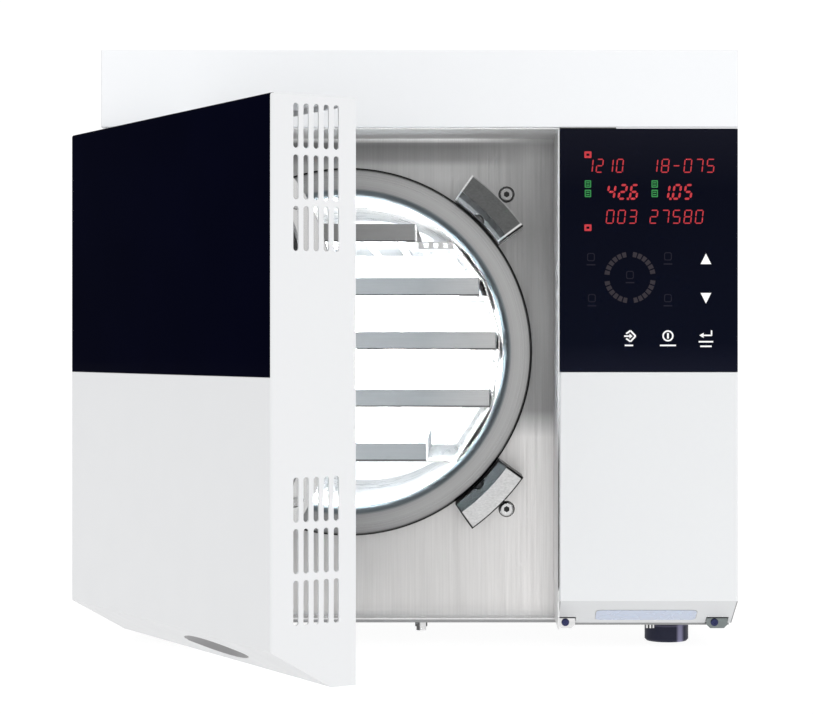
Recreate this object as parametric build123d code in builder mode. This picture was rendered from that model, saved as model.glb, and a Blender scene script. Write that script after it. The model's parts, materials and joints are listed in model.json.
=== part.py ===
from build123d import *
import os
from math import acos, atan2, cos, degrees, pi, radians, sin, sqrt, tan

os.makedirs("parts", exist_ok=True)

# Cabinet: X runs to the right, Y to the back, Z up from the plane under the feet
body_width = 500.0
body_depth = 560.0
body_height = 457.0
foot_height = 18.0
sheet = 1.5
sheet_fit = 0.2

# Front of the cabinet
band_height = 60.5
recess_depth = 88.0
recess_width = 360.0
fascia_sheet = 1.0
fascia_lip_front = 4.0
glass_thickness = 3.0
glass_fit = 0.3
divider_z = 222.0
control_face_bottom = 42.5
control_bottom = 20.0
bevel_depth = 43.0

# Chamber, measured from the middle of the recess and the resting plane
chamber_offset = 10.6
chamber_height = 237.8
bore_radius = 126.5
vessel_wall = 3.0
vessel_length = 350.0
dish_depth = 28.0
flange_radius = 150.0
flange_proud = 22.0
flange_edge = 2.0
flange_socket = 8.0
mouth_roll = 6.0
insulation = 20.0

# Door, drawn closed and swung open at the end
door_gap_left = 1.0
door_gap_right = 2.2
door_depth = 64.2
door_bottom = 13.8
door_top = 411.0
door_face_bottom = 40.0
door_bevel_depth = 45.3
door_sheet = 1.5
door_edge_radius = 2.0
door_return = 5.0
hinge_from_left = 14.3
hinge_from_front = 42.4
door_open_angle = 58.7

# Lock: four round bolts driven by a spiral cam
bolt_radius = 6.0
bolt_fit = 0.1
bolt_depth = 51.0
bolt_stroke = 12.0
bolt_length = 73.0
bolt_angles = (45, 135, 225, 315)
follower_radius = 2.5
follower_fit = 0.12
follower_start = 82.0
cam_turn = 60.0
cam_front = 37.0
cam_thickness = 4.0
cam_radius = 100.5
gear_module = 2.0
cam_teeth = 105
pinion_teeth = 15
gear_backlash = 0.3
pressure_angle = 20.0
disc_radius = 147.0
rim_inner_radius = 112.0
disc_front = 42.0
disc_back = 64.0
web_front = 58.0
boss_radius = 20.0
shoulder_radius = 28.0
shaft_fit = 0.05
claw_inner_radius = 151.0
claw_width = 23.3
claw_half_angle = 9.6
claw_front = 40.0
claw_chamfer = 7.6

# Places worked out from the sizes above
left_x = -body_width / 2
right_x = body_width / 2
front_y = -body_depth / 2
rear_y = body_depth / 2
floor_z = foot_height
top_z = foot_height + body_height
band_z = top_z - band_height
rear_face_y = rear_y - sheet
rear_inner_y = rear_face_y - sheet
fascia_y = front_y + recess_depth
control_x = left_x + recess_width
control_width = body_width - recess_width
chamber_x = left_x + recess_width / 2 + chamber_offset
chamber_z = chamber_height
vessel_radius = bore_radius + vessel_wall
flange_y = fascia_y - flange_proud
vessel_front = fascia_y - flange_socket + 0.3
vessel_rear = flange_y + vessel_length
jacket_radius = vessel_radius + insulation
side_bay = right_x - chamber_x - jacket_radius
door_left = left_x + door_gap_left
door_right = control_x - door_gap_right
door_width = door_right - door_left
door_back = front_y + door_depth
hinge_x = left_x + hinge_from_left
hinge_y = front_y + hinge_from_front
bolt_y = front_y + bolt_depth
cam_y = front_y + cam_front
cam_back_y = cam_y + cam_thickness
disc_front_y = front_y + disc_front
disc_back_y = front_y + disc_back
carrier_thickness = 6.0
carrier_y = front_y + 28.0
carrier_back_y = carrier_y + carrier_thickness

chamber_axis = Axis((chamber_x, 0, chamber_z), (0, 1, 0))
hinge_axis = Axis((hinge_x, hinge_y, 0), (0, 0, 1))
axial = Plane(origin=(chamber_x, 0, chamber_z), x_dir=(0, 1, 0), z_dir=(1, 0, 0))


def facing(y):
    """The upright plane at depth y that is seen from the front: its x is X and its y is Z."""
    return Plane.XZ.offset(-y)


def across(y):
    """The same upright plane, centred on the chamber's axis."""
    return Plane(origin=(chamber_x, y, chamber_z), x_dir=(1, 0, 0), z_dir=(0, -1, 0))


def radial(angle, y, start=0.0):
    """The plane square to the spoke at this angle, at a distance from the chamber's axis."""
    spoke = Vector(cos(radians(angle)), 0, sin(radians(angle)))
    origin = Vector(chamber_x, y, chamber_z) + spoke * start
    return Plane(origin=origin, x_dir=(0, 1, 0), z_dir=spoke)


def polar(radius, angle):
    """A point of a sketch, by its radius and its angle in degrees."""
    return (radius * cos(radians(angle)), radius * sin(radians(angle)))


def swung(part):
    """A door piece turned about the hinge pin to the open pose."""
    return part.rotate(hinge_axis, -door_open_angle)


# Base pan: a folded tray with a wide step where the door hangs
pan_flange = 22.0
pan_left_front = front_y + 68.5
pan_right_front = front_y + 46.0
pan_hem = 1.0
pan_relief = 10.0
pan_left = left_x + sheet + sheet_fit
pan_right = right_x - sheet - sheet_fit
pan_rear = rear_y - 2 * sheet - sheet_fit
pan_top = floor_z + sheet
with BuildPart() as base_pan:
    with BuildSketch(Plane.XY.offset(floor_z)):
        with BuildLine():
            Polyline(
                (pan_left, pan_left_front),
                (control_x, pan_left_front),
                (control_x, pan_right_front),
                (pan_right, pan_right_front),
                (pan_right, pan_rear),
                (pan_left, pan_rear),
                close=True,
            )
        make_face()
    extrude(amount=sheet)
    with BuildSketch(Plane.XY.offset(pan_top)):
        for x in (pan_left + sheet / 2, pan_right - sheet / 2):
            with Locations((x, (fascia_y + pan_rear) / 2)):
                Rectangle(sheet, pan_rear - fascia_y - 2 * pan_relief)
        with Locations((0, pan_rear - sheet / 2)):
            Rectangle(pan_right - pan_left, sheet)
    extrude(amount=pan_flange)
    with BuildSketch(Plane.XY.offset(floor_z)):
        with Locations(((pan_left + control_x) / 2, pan_left_front + sheet / 2)):
            Rectangle(control_x - pan_left, sheet)
    extrude(amount=-pan_hem)
base_pan.part.label = "base_pan"
export_step(base_pan.part, "parts/base_pan.step")

# Feet: turned rubber, with a screw through each into the pan
foot_radius = 18.0
foot_neck_radius = 16.0
foot_neck_height = 4.0
foot_bevel = 1.5
foot_bore = 3.2
foot_recess_radius = 7.0
foot_recess_depth = 9.0
foot_inset = 47.8
foot_front_right = front_y + 90.0
foot_front_left = front_y + 112.0
foot_left_inset = 60.0
foot_rear = rear_y - 55.0
foot_places = (
    (left_x + foot_left_inset, foot_front_left),
    (right_x - foot_inset, foot_front_right),
    (left_x + foot_left_inset, foot_rear),
    (right_x - foot_inset, foot_rear),
)
with BuildPart() as rubber_feet:
    with Locations(*[(x, y, 0) for x, y in foot_places]):
        Cylinder(foot_radius, foot_height, align=(Align.CENTER, Align.CENTER, Align.MIN))
    chamfer(rubber_feet.edges().group_by(Axis.Z)[0], foot_bevel)
    with BuildSketch(Plane.XY.offset(foot_height)):
        with Locations(*foot_places):
            Circle(foot_radius + 1)
            Circle(foot_neck_radius, mode=Mode.SUBTRACT)
    extrude(amount=-foot_neck_height, mode=Mode.SUBTRACT)
    with BuildSketch(Plane.XY):
        with Locations(*foot_places):
            Circle(foot_recess_radius)
    extrude(amount=foot_recess_depth, mode=Mode.SUBTRACT)
    with BuildSketch(Plane.XY.offset(foot_height)):
        with Locations(*foot_places):
            Circle(foot_bore)
    extrude(amount=-foot_height, mode=Mode.SUBTRACT)
rubber_feet.part.label = "rubber_feet"
export_step(rubber_feet.part, "parts/rubber_feet.step")

foot_screw_head_radius = 5.5
foot_screw_head = 3.5
foot_screw_edge = 1.0
screw_hole_fit = 0.2
with BuildPart() as foot_screws:
    with BuildSketch(Plane.XY.offset(foot_recess_depth)):
        with Locations(*foot_places):
            Circle(foot_screw_head_radius)
    extrude(amount=-foot_screw_head)
    chamfer(foot_screws.edges().group_by(Axis.Z)[0], foot_screw_edge)
    with BuildSketch(Plane.XY.offset(foot_recess_depth)):
        with Locations(*foot_places):
            Circle(foot_bore - screw_hole_fit)
    extrude(amount=foot_height - foot_recess_depth)
foot_screws.part.label = "foot_screws"
export_step(foot_screws.part, "parts/foot_screws.step")

# Side panels: folded sheet with a rear return and rows of louvre slots
side_return = 12.0
side_top = top_z - sheet
louvre_length = 90.0
louvre_height = 5.0
louvre_pitch = 16.0
louvre_rows = 8
louvre_y = rear_y - 130.0
louvre_z = top_z - 145.0
for side, name in ((-1, "left_side_panel"), (1, "right_side_panel")):
    outer_x = side * body_width / 2
    with BuildPart() as side_panel:
        with BuildSketch(Plane.XY.offset(floor_z)):
            with BuildLine():
                Polyline(
                    (outer_x, fascia_y),
                    (outer_x, rear_y),
                    (outer_x - side * side_return, rear_y),
                    (outer_x - side * side_return, rear_y - sheet),
                    (outer_x - side * sheet, rear_y - sheet),
                    (outer_x - side * sheet, fascia_y),
                    close=True,
                )
            make_face()
        extrude(amount=side_top - floor_z)
        with BuildSketch(Plane.YZ.offset(outer_x - side * sheet)):
            with Locations((louvre_y, louvre_z)):
                with GridLocations(0, louvre_pitch, 1, louvre_rows):
                    SlotOverall(louvre_length, louvre_height)
        extrude(amount=side * sheet, mode=Mode.SUBTRACT)
    side_panel.part.label = name
    export_step(side_panel.part, "parts/" + name + ".step")

# Top panel with the filler opening and its raised rim
filler_x = chamber_x
filler_y = rear_y - 160.0
filler_width = 120.0
filler_depth = 80.0
filler_corner = 10.0
lid_overlap = 9.0
top_front = fascia_y + sheet_fit
with BuildPart() as top_panel:
    with BuildSketch(Plane.XY.offset(top_z - sheet)):
        with Locations((0, (top_front + rear_y) / 2)):
            Rectangle(body_width, rear_y - top_front)
    extrude(amount=sheet)
    with BuildSketch(Plane.XY.offset(top_z - sheet)):
        for x in (left_x + 1.5 * sheet + sheet_fit, right_x - 1.5 * sheet - sheet_fit):
            with Locations((x, (top_front + rear_y) / 2)):
                Rectangle(sheet, rear_y - top_front - 2 * side_return)
    extrude(amount=-side_return)
    with BuildSketch(Plane.XY.offset(top_z - sheet)):
        with Locations((filler_x, filler_y)):
            RectangleRounded(filler_width, filler_depth, filler_corner)
    extrude(amount=sheet, mode=Mode.SUBTRACT)
top_panel.part.label = "top_panel"
export_step(top_panel.part, "parts/top_panel.step")

# Front band: the white hood over door and control panel
band_edge = 1.2
with BuildPart() as front_band:
    with BuildSketch(Plane.XY.offset(band_z)):
        with Locations((0, (front_y + fascia_y) / 2)):
            Rectangle(body_width, recess_depth)
    extrude(amount=band_height)
    fillet(front_band.edges().group_by(Axis.Y)[0], band_edge)
    with BuildSketch(Plane.XY.offset(band_z + sheet)):
        with Locations((0, (front_y + fascia_y) / 2 + sheet)):
            Rectangle(body_width - 2 * sheet, recess_depth)
    extrude(amount=band_height - 2 * sheet, mode=Mode.SUBTRACT)
front_band.part.label = "front_band"
export_step(front_band.part, "parts/front_band.step")

# Fan place on the back
fan_x = right_x - 100.0
fan_z = top_z - 175.0
fan_size = 120.0
fan_depth = 25.0
fan_bore = 57.0
fan_screw_pitch = 105.0

# Mains inlet and switch places on the back
inlet_x = right_x - 65.0
switch_x = right_x - 120.0
power_z = floor_z + 57.0
inlet_width = 48.0
inlet_height = 28.0
switch_width = 30.0
switch_height = 22.0
cutout_fit = 0.3

# Safety valve place on the back
safety_x = left_x + 65.0
safety_z = top_z - 145.0
safety_thread_radius = 10.0

# Drain tap places on the back
drain_z = floor_z + 42.0
rear_drains = ((left_x + 50.0, drain_z), (left_x + 90.0, drain_z))
rear_drain_radius = 8.0

# Rear panel: flat sheet, slotted in rings in front of the fan
rear_fit_x = right_x - sheet - sheet_fit
grille_rings = (14.0, 25.0, 36.0, 47.0)
grille_slot = 6.5
grille_arc = 62.0
with BuildPart() as rear_panel:
    with BuildSketch(facing(rear_face_y)):
        with Locations((0, (pan_top + side_top) / 2)):
            Rectangle(2 * rear_fit_x, side_top - pan_top - 2 * sheet_fit)
        with Locations((inlet_x, power_z)):
            Rectangle(inlet_width, inlet_height, mode=Mode.SUBTRACT)
        with Locations((switch_x, power_z)):
            Rectangle(switch_width, switch_height, mode=Mode.SUBTRACT)
        with Locations((safety_x, safety_z)):
            Circle(safety_thread_radius + cutout_fit, mode=Mode.SUBTRACT)
        with Locations(*rear_drains):
            Circle(rear_drain_radius + cutout_fit, mode=Mode.SUBTRACT)
        for index, ring in enumerate(grille_rings):
            for quarter in range(4):
                start = 90 * quarter + 45 * (index % 2) + (90 - grille_arc) / 2
                with BuildLine(mode=Mode.PRIVATE) as ring_line:
                    CenterArc((fan_x, fan_z), ring, start, grille_arc)
                SlotArc(ring_line.edges()[0], grille_slot, mode=Mode.SUBTRACT)
    extrude(amount=sheet)
rear_panel.part.label = "rear_panel"
export_step(rear_panel.part, "parts/rear_panel.step")

# Hinge bracket and claw screw places, which the fascia is drilled for
claw_screw_radius = 183.3
claw_screw_shank = 3.0

# Fascia: brushed tray round the chamber mouth
fascia_top = band_z - sheet_fit
fascia_bottom = pan_top
fascia_left = left_x + sheet + sheet_fit
fascia_back_flange = 16.0
fascia_bore = vessel_radius + 2.0
with BuildPart() as fascia_plate:
    with BuildSketch(facing(fascia_y)):
        with Locations(((fascia_left + control_x) / 2, (fascia_bottom + fascia_top) / 2)):
            Rectangle(control_x - fascia_left, fascia_top - fascia_bottom)
    extrude(amount=-fascia_sheet)
    with BuildSketch(facing(fascia_y)):
        with Locations(((fascia_left + control_x) / 2, fascia_top - fascia_sheet / 2)):
            Rectangle(control_x - fascia_left, fascia_sheet)
        with Locations((control_x - fascia_sheet / 2, (fascia_bottom + fascia_top) / 2)):
            Rectangle(fascia_sheet, fascia_top - fascia_bottom)
    extrude(amount=recess_depth - fascia_lip_front)
    with BuildSketch(facing(fascia_y)):
        with Locations(((fascia_left + control_x) / 2, fascia_bottom + fascia_sheet / 2)):
            Rectangle(control_x - fascia_left, fascia_sheet)
    extrude(amount=fascia_y - pan_left_front)
    with BuildSketch(facing(fascia_y)):
        with Locations((fascia_left + fascia_sheet / 2, (fascia_bottom + fascia_top) / 2)):
            Rectangle(fascia_sheet, fascia_top - fascia_bottom - 2 * pan_flange)
    extrude(amount=-fascia_back_flange)
    with BuildSketch(across(fascia_y)):
        Circle(fascia_bore)
        for angle in bolt_angles:
            with PolarLocations(claw_screw_radius, 1, angle):
                Circle(claw_screw_shank + screw_hole_fit)
    extrude(amount=-fascia_sheet, mode=Mode.SUBTRACT)
fascia_plate.part.label = "fascia_plate"
export_step(fascia_plate.part, "parts/fascia_plate.step")

# Control housing: moulded shell with a pocket for the glass and a bevelled bottom
control_top = band_z - sheet_fit
control_wall = 2.0
control_edge = 1.5
window_width = 0.8 * control_width
window_height = 150.0
window_z = 318.0
strip_length = 0.57 * control_width
strip_width = 9.0
strip_depth = 0.8
control_lip = 1.0
bracket_fit = 0.5
bracket_left_inset = 7.0
bracket_left_width = 14.0
bracket_right_inset = 12.3
bracket_right_width = 17.0
bracket_places = (
    (control_x + bracket_left_inset, bracket_left_width),
    (right_x - bracket_right_inset, bracket_right_width),
)
bracket_front = front_y + 36.0
bracket_top = 24.5
notch_height = 26.0
bevel_drop = control_face_bottom - control_bottom
bevel_slope = degrees(atan2(bevel_drop, bevel_depth))
with BuildPart() as control_block:
    with BuildSketch(Plane.YZ.offset(control_x)):
        with BuildLine():
            Polyline(
                (front_y, control_top),
                (front_y, control_face_bottom),
                (front_y + bevel_depth, control_bottom),
                (fascia_y, control_bottom),
                (fascia_y, control_top),
                close=True,
            )
        make_face()
    extrude(amount=control_width)
    fillet(control_block.edges().filter_by(Axis.Z).group_by(Axis.Y)[0], control_edge)

with BuildPart() as control_housing:
    add(control_block.part)
    with BuildSketch(Plane.YZ.offset(control_x + control_wall)):
        with BuildLine():
            Polyline(
                (front_y + glass_thickness + control_wall, control_top - control_wall),
                (front_y + glass_thickness + control_wall, divider_z),
                (front_y + control_wall, divider_z - 2 * control_wall),
                (front_y + control_wall, control_face_bottom + control_wall),
                (front_y + bevel_depth, control_bottom + control_wall),
                (fascia_y, control_bottom + control_wall),
                (fascia_y, control_top - control_wall),
                close=True,
            )
        make_face()
    extrude(amount=control_width - 2 * control_wall, mode=Mode.SUBTRACT)
    with BuildSketch(facing(front_y)):
        with Locations((control_x + control_width / 2, (divider_z + control_top - control_lip) / 2)):
            Rectangle(control_width, control_top - control_lip - divider_z)
    extrude(amount=-glass_thickness, mode=Mode.SUBTRACT)
    with BuildSketch(facing(front_y)):
        with Locations((control_x + control_width / 2, window_z)):
            RectangleRounded(window_width, window_height, 4)
    extrude(amount=-(glass_thickness + 2 * control_wall), mode=Mode.SUBTRACT)
    bevel_plane = Plane(
        origin=(
            control_x + control_width / 2,
            front_y + bevel_depth / 2,
            (control_face_bottom + control_bottom) / 2,
        ),
        x_dir=(1, 0, 0),
        z_dir=(0, -sin(radians(bevel_slope)), -cos(radians(bevel_slope))),
    )
    with BuildSketch(bevel_plane):
        SlotOverall(strip_length, strip_width)
    extrude(amount=-strip_depth, mode=Mode.SUBTRACT)
    with BuildSketch(Plane.XY.offset(control_bottom)):
        for x, width in bracket_places:
            with Locations((x, (front_y + pan_right_front) / 2)):
                Rectangle(width + 2 * bracket_fit, pan_right_front - front_y)
    extrude(amount=notch_height - control_bottom, mode=Mode.SUBTRACT)
control_housing.part.label = "control_housing"
export_step(control_housing.part, "parts/control_housing.step")

with BuildPart() as control_glass:
    add(control_block.part)
    with BuildSketch(facing(front_y)):
        with Locations((control_x + control_width / 2, (divider_z + control_top - control_lip) / 2)):
            Rectangle(control_width, control_top - control_lip - divider_z - 2 * glass_fit)
    extrude(amount=-glass_thickness, mode=Mode.INTERSECT)
control_glass.part.label = "control_glass"
export_step(control_glass.part, "parts/control_glass.step")

# Display board behind the glass: circuit board, number modules and key pads
board_thickness = 1.6
board_y = front_y + glass_thickness + 9.0
module_depth = 8.0
control_centre = control_x + control_width / 2
narrow_module = 0.24 * control_width
wide_module = 0.315 * control_width
module_rows = ((378.0, narrow_module), (359.0, wide_module), (339.0, wide_module))
module_height = 13.0
module_gap = 6.0
board_margin = 16.0
board_post_radius = 3.5
key_radius = 6.0
key_pitch = 0.23 * control_width
key_z = 252.0
ring_radius = 15.5
ring_offset = 0.1 * control_width
ring_z = 300.0
with BuildPart() as display_board:
    with BuildSketch(facing(board_y)):
        with Locations((control_centre, window_z)):
            RectangleRounded(window_width + board_margin, window_height + board_margin, 3)
    extrude(amount=-board_thickness)
    with BuildSketch(facing(board_y)):
        for z, width in module_rows:
            with Locations((control_centre, z)):
                with GridLocations(width + module_gap, 0, 2, 1):
                    Rectangle(width, module_height)
        with Locations((control_centre - ring_offset, ring_z)):
            Circle(ring_radius + 5)
            Circle(ring_radius - 2, mode=Mode.SUBTRACT)
        with Locations((control_centre, key_z)):
            with GridLocations(key_pitch, 0, 3, 1):
                Circle(key_radius)
    extrude(amount=module_depth)
    with BuildSketch(facing(board_y + board_thickness)):
        with Locations((control_centre, window_z)):
            with GridLocations(window_width, window_height, 2, 2):
                Circle(board_post_radius)
    extrude(amount=board_y - front_y - glass_thickness - control_wall + board_thickness)
display_board.part.label = "display_board"
export_step(display_board.part, "parts/display_board.step")

# Chamber vessel: a polished tube with a dished rear head
dish_radius = (bore_radius**2 + dish_depth**2) / (2 * dish_depth)
outer_dish_depth = dish_depth + vessel_wall
outer_dish_radius = (vessel_radius**2 + outer_dish_depth**2) / (2 * outer_dish_depth)
with BuildPart() as chamber_vessel:
    with BuildSketch(axial):
        with BuildLine():
            Line((vessel_front, bore_radius), (vessel_front, vessel_radius))
            Line((vessel_front, vessel_radius), (vessel_rear, vessel_radius))
            RadiusArc(
                (vessel_rear, vessel_radius),
                (vessel_rear + outer_dish_depth, 0),
                outer_dish_radius,
            )
            Line((vessel_rear + outer_dish_depth, 0), (vessel_rear + dish_depth, 0))
            RadiusArc((vessel_rear + dish_depth, 0), (vessel_rear, bore_radius), -dish_radius)
            Line((vessel_rear, bore_radius), (vessel_front, bore_radius))
        make_face()
    revolve(axis=chamber_axis)
chamber_vessel.part.label = "chamber_vessel"
export_step(chamber_vessel.part, "parts/chamber_vessel.step")

# Chamber flange: the turned ring that the door seal presses on
with BuildPart() as chamber_flange:
    with BuildSketch(axial):
        with BuildLine():
            RadiusArc(
                (flange_y, bore_radius + mouth_roll), (flange_y + mouth_roll, bore_radius), -mouth_roll
            )
            Polyline(
                (flange_y + mouth_roll, bore_radius),
                (fascia_y - flange_socket, bore_radius),
                (fascia_y - flange_socket, vessel_radius + 0.1),
                (fascia_y, vessel_radius + 0.1),
                (fascia_y, flange_radius),
                (flange_y + flange_edge, flange_radius),
            )
            RadiusArc(
                (flange_y + flange_edge, flange_radius),
                (flange_y, flange_radius - flange_edge),
                flange_edge,
            )
            Line((flange_y, flange_radius - flange_edge), (flange_y, bore_radius + mouth_roll))
        make_face()
    revolve(axis=chamber_axis)
chamber_flange.part.label = "chamber_flange"
export_step(chamber_flange.part, "parts/chamber_flange.step")

# Insulation jacket round the vessel, with two hoop bands
jacket_front = fascia_y + fascia_sheet + 4.0
jacket_rear = vessel_rear - 6.0
jacket_fit = 0.3
band_width = 14.0
band_proud = 1.2
with BuildPart() as insulation_jacket:
    with BuildSketch(across(jacket_front)):
        Circle(jacket_radius - band_proud)
        Circle(vessel_radius + jacket_fit, mode=Mode.SUBTRACT)
    extrude(amount=jacket_front - jacket_rear)
    for y in (jacket_front + 60, (jacket_front + jacket_rear) / 2, jacket_rear - 60):
        with BuildSketch(across(y)):
            Circle(jacket_radius)
            Circle(jacket_radius - 2 * band_proud, mode=Mode.SUBTRACT)
        extrude(amount=-band_width)
insulation_jacket.part.label = "insulation_jacket"
export_step(insulation_jacket.part, "parts/insulation_jacket.step")

# Saddles: two folded plates that carry the jacketed vessel on the pan
saddle_fit = 0.3
saddle_sheet = 3.0
saddle_half_width = 110.0
saddle_rise = 96.0
saddle_foot = 20.0
with BuildPart() as chamber_saddles:
    for y in (jacket_front + 20, jacket_rear - 30):
        with BuildSketch(facing(y)):
            with Locations((chamber_x, pan_top + saddle_rise / 2)):
                Rectangle(2 * saddle_half_width, saddle_rise)
            with Locations((chamber_x, chamber_z)):
                Circle(jacket_radius - band_proud + saddle_fit, mode=Mode.SUBTRACT)
        extrude(amount=-saddle_sheet)
        with BuildSketch(Plane.XY.offset(pan_top)):
            with Locations((chamber_x, y + saddle_foot / 2)):
                Rectangle(2 * saddle_half_width, saddle_foot)
        extrude(amount=saddle_sheet)
chamber_saddles.part.label = "chamber_saddles"
export_step(chamber_saddles.part, "parts/chamber_saddles.step")

# Claw blocks on the fascia, with a blind pocket for each bolt
claw_outer_radius = claw_inner_radius + claw_width
pocket_radius = bolt_radius + 0.5
pocket_end = disc_radius + bolt_stroke + 3.0
with BuildPart() as claw_blocks:
    for angle in bolt_angles:
        with BuildSketch(across(fascia_y)):
            with BuildLine():
                for radius in (claw_inner_radius, claw_outer_radius):
                    CenterArc((0, 0), radius, angle - claw_half_angle, 2 * claw_half_angle)
                for end in (angle - claw_half_angle, angle + claw_half_angle):
                    Line(polar(claw_inner_radius, end), polar(claw_outer_radius, end))
            make_face()
        extrude(amount=recess_depth - claw_front)
    with BuildSketch(axial):
        with BuildLine():
            Polyline(
                (front_y + claw_front - 1, claw_inner_radius - 1),
                (front_y + claw_front - 1, claw_inner_radius + claw_chamfer),
                (front_y + claw_front, claw_inner_radius + claw_chamfer),
                (front_y + claw_front + claw_chamfer, claw_inner_radius),
                (front_y + claw_front + claw_chamfer, claw_inner_radius - 1),
                close=True,
            )
        make_face()
    revolve(axis=chamber_axis, mode=Mode.SUBTRACT)
    for angle in bolt_angles:
        with BuildSketch(radial(angle, bolt_y, claw_inner_radius - 3)):
            Circle(pocket_radius)
        extrude(amount=pocket_end - claw_inner_radius + 3, mode=Mode.SUBTRACT)
claw_blocks.part.label = "claw_blocks"
export_step(claw_blocks.part, "parts/claw_blocks.step")

# Claw screws: button heads with a hexagon socket
screw_head_radius = 6.0
screw_head_height = 3.2
screw_edge = 1.8
screw_length = 12.0
socket_across = 4.0
socket_depth = 2.2
with BuildPart() as claw_screws:
    for angle in bolt_angles:
        with BuildSketch(across(fascia_y)):
            with PolarLocations(claw_screw_radius, 1, angle):
                Circle(screw_head_radius)
        extrude(amount=screw_head_height)
        fillet(claw_screws.edges().group_by(Axis.Y)[0].filter_by(GeomType.CIRCLE), screw_edge)
        with BuildSketch(across(fascia_y - screw_head_height)):
            with PolarLocations(claw_screw_radius, 1, angle):
                RegularPolygon(socket_across / 2, 6, major_radius=False)
        extrude(amount=-socket_depth, mode=Mode.SUBTRACT)
        with BuildSketch(across(fascia_y)):
            with PolarLocations(claw_screw_radius, 1, angle):
                Circle(claw_screw_shank)
        extrude(amount=-screw_length)
claw_screws.part.label = "claw_screws"
export_step(claw_screws.part, "parts/claw_screws.step")

# Hinge: two lugs on the fascia, one pin, and the knuckle that swings between them
pin_radius = 6.0
lug_radius = 12.5
lug_height = 20.0
knuckle_height = 79.4
knuckle_gap = 0.3
lug_plate_thickness = 5.0
lug_plate_width = 36.0
lug_web_width = 16.0
lug_plate_x = left_x + 22.0
lug_inner = knuckle_height / 2 + knuckle_gap
with BuildPart() as hinge_brackets:
    for side in (-1, 1):
        low = chamber_z + (lug_inner if side > 0 else -lug_inner - lug_height)
        with BuildSketch(Plane.XY.offset(low)):
            with Locations((hinge_x, hinge_y)):
                Circle(lug_radius)
            with Locations((hinge_x, (hinge_y + fascia_y) / 2)):
                Rectangle(lug_web_width, fascia_y - hinge_y)
            with Locations((lug_plate_x, fascia_y - lug_plate_thickness / 2)):
                Rectangle(lug_plate_width, lug_plate_thickness)
            with Locations((hinge_x, hinge_y)):
                Circle(pin_radius, mode=Mode.SUBTRACT)
        extrude(amount=lug_height)
hinge_brackets.part.label = "hinge_brackets"
export_step(hinge_brackets.part, "parts/hinge_brackets.step")

pin_head = 3.0
pin_head_radius = 9.0
pin_length = knuckle_height + 2 * (knuckle_gap + lug_height)
with BuildPart() as hinge_pin:
    with BuildSketch(Plane.XY.offset(chamber_z - pin_length / 2)):
        with Locations((hinge_x, hinge_y)):
            Circle(pin_radius)
    extrude(amount=pin_length)
    with BuildSketch(Plane.XY.offset(chamber_z + pin_length / 2)):
        with Locations((hinge_x, hinge_y)):
            Circle(pin_head_radius)
    extrude(amount=pin_head)
    chamfer(hinge_pin.edges().group_by(Axis.Z)[-1], 1.0)
hinge_pin.part.label = "hinge_pin"
export_step(hinge_pin.part, "parts/hinge_pin.step")

# Trays: height of the underside over the chamber's axis, and half the width
tray_sheet = 1.0
tray_lip = 14.5
tray_length = 300.0
tray_front = flange_y + 4.0
tray_corner = 1.5
tray_table = (
    (90.0, 55.0, 4),
    (46.0, 107.0, 8),
    (2.0, 121.0, 8),
    (-45.0, 115.8, 8),
    (-89.0, 64.0, 4),
)
tray_slot_length = 30.0
tray_slot_width = 7.0
tray_slot_rows = 6
for index, (tray_z, half_width, slot_columns) in enumerate(tray_table):
    name = "tray_" + str(index + 1)
    low = chamber_z + tray_z
    centre_y = tray_front + tray_length / 2
    with BuildPart() as tray:
        with BuildSketch(Plane.XY.offset(low)):
            with Locations((chamber_x, centre_y)):
                RectangleRounded(2 * half_width, tray_length, tray_corner)
        extrude(amount=tray_lip)
        with BuildSketch(Plane.XY.offset(low + tray_sheet)):
            with Locations((chamber_x, centre_y)):
                RectangleRounded(
                    2 * (half_width - tray_sheet),
                    tray_length - 2 * tray_sheet,
                    tray_corner - tray_sheet,
                )
        extrude(amount=tray_lip, mode=Mode.SUBTRACT)
        with BuildSketch(Plane.XY.offset(low)):
            with Locations((chamber_x, centre_y)):
                pitch_x = 2 * half_width / slot_columns
                pitch_y = tray_length / tray_slot_rows
                with GridLocations(pitch_x, pitch_y, slot_columns, tray_slot_rows):
                    Rectangle(tray_slot_width, tray_slot_length)
        extrude(amount=tray_sheet, mode=Mode.SUBTRACT)
    tray.part.label = name
    export_step(tray.part, "parts/" + name + ".step")

# Tray rack: folded sides that follow the bore, a ledge under each tray, cross straps
rack_sheet = 1.0
rack_front = tray_front + 3.0
rack_length = 290.0
rack_fit = 0.2
ledge_width = 24.0
strap_depth = 14.0
strap_width = 104.0
rack_top = tray_table[0][0]
rack_bottom = tray_table[-1][0]
rack_foot_x = sqrt((bore_radius - rack_fit) ** 2 - (rack_bottom - rack_sheet) ** 2)
rack_side = (
    (48.0, rack_top - rack_sheet / 2),
    (86.0, rack_top - rack_sheet / 2),
    (111.0, 57.0),
    (123.2, 16.0),
    (123.4, 0.0),
    (117.0, -44.5),
    (rack_foot_x - rack_sheet / 2, rack_bottom - rack_sheet / 2),
    (50.0, rack_bottom - rack_sheet / 2),
)
ledges = ((46.0, 114.2), (2.0, 123.0), (-45.0, 116.4))
rack_window = 64.0
rack_window_pitch = 90.0
rack_window_rows = ((24.0, 22.0), (-22.0, 28.0))
rack_window_corner = 4.0
strip_x = 71.5
strip_width = 29.0
strip_height = 6.0
strip_hole = 3.6
strip_hole_pitch = 8.0
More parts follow.
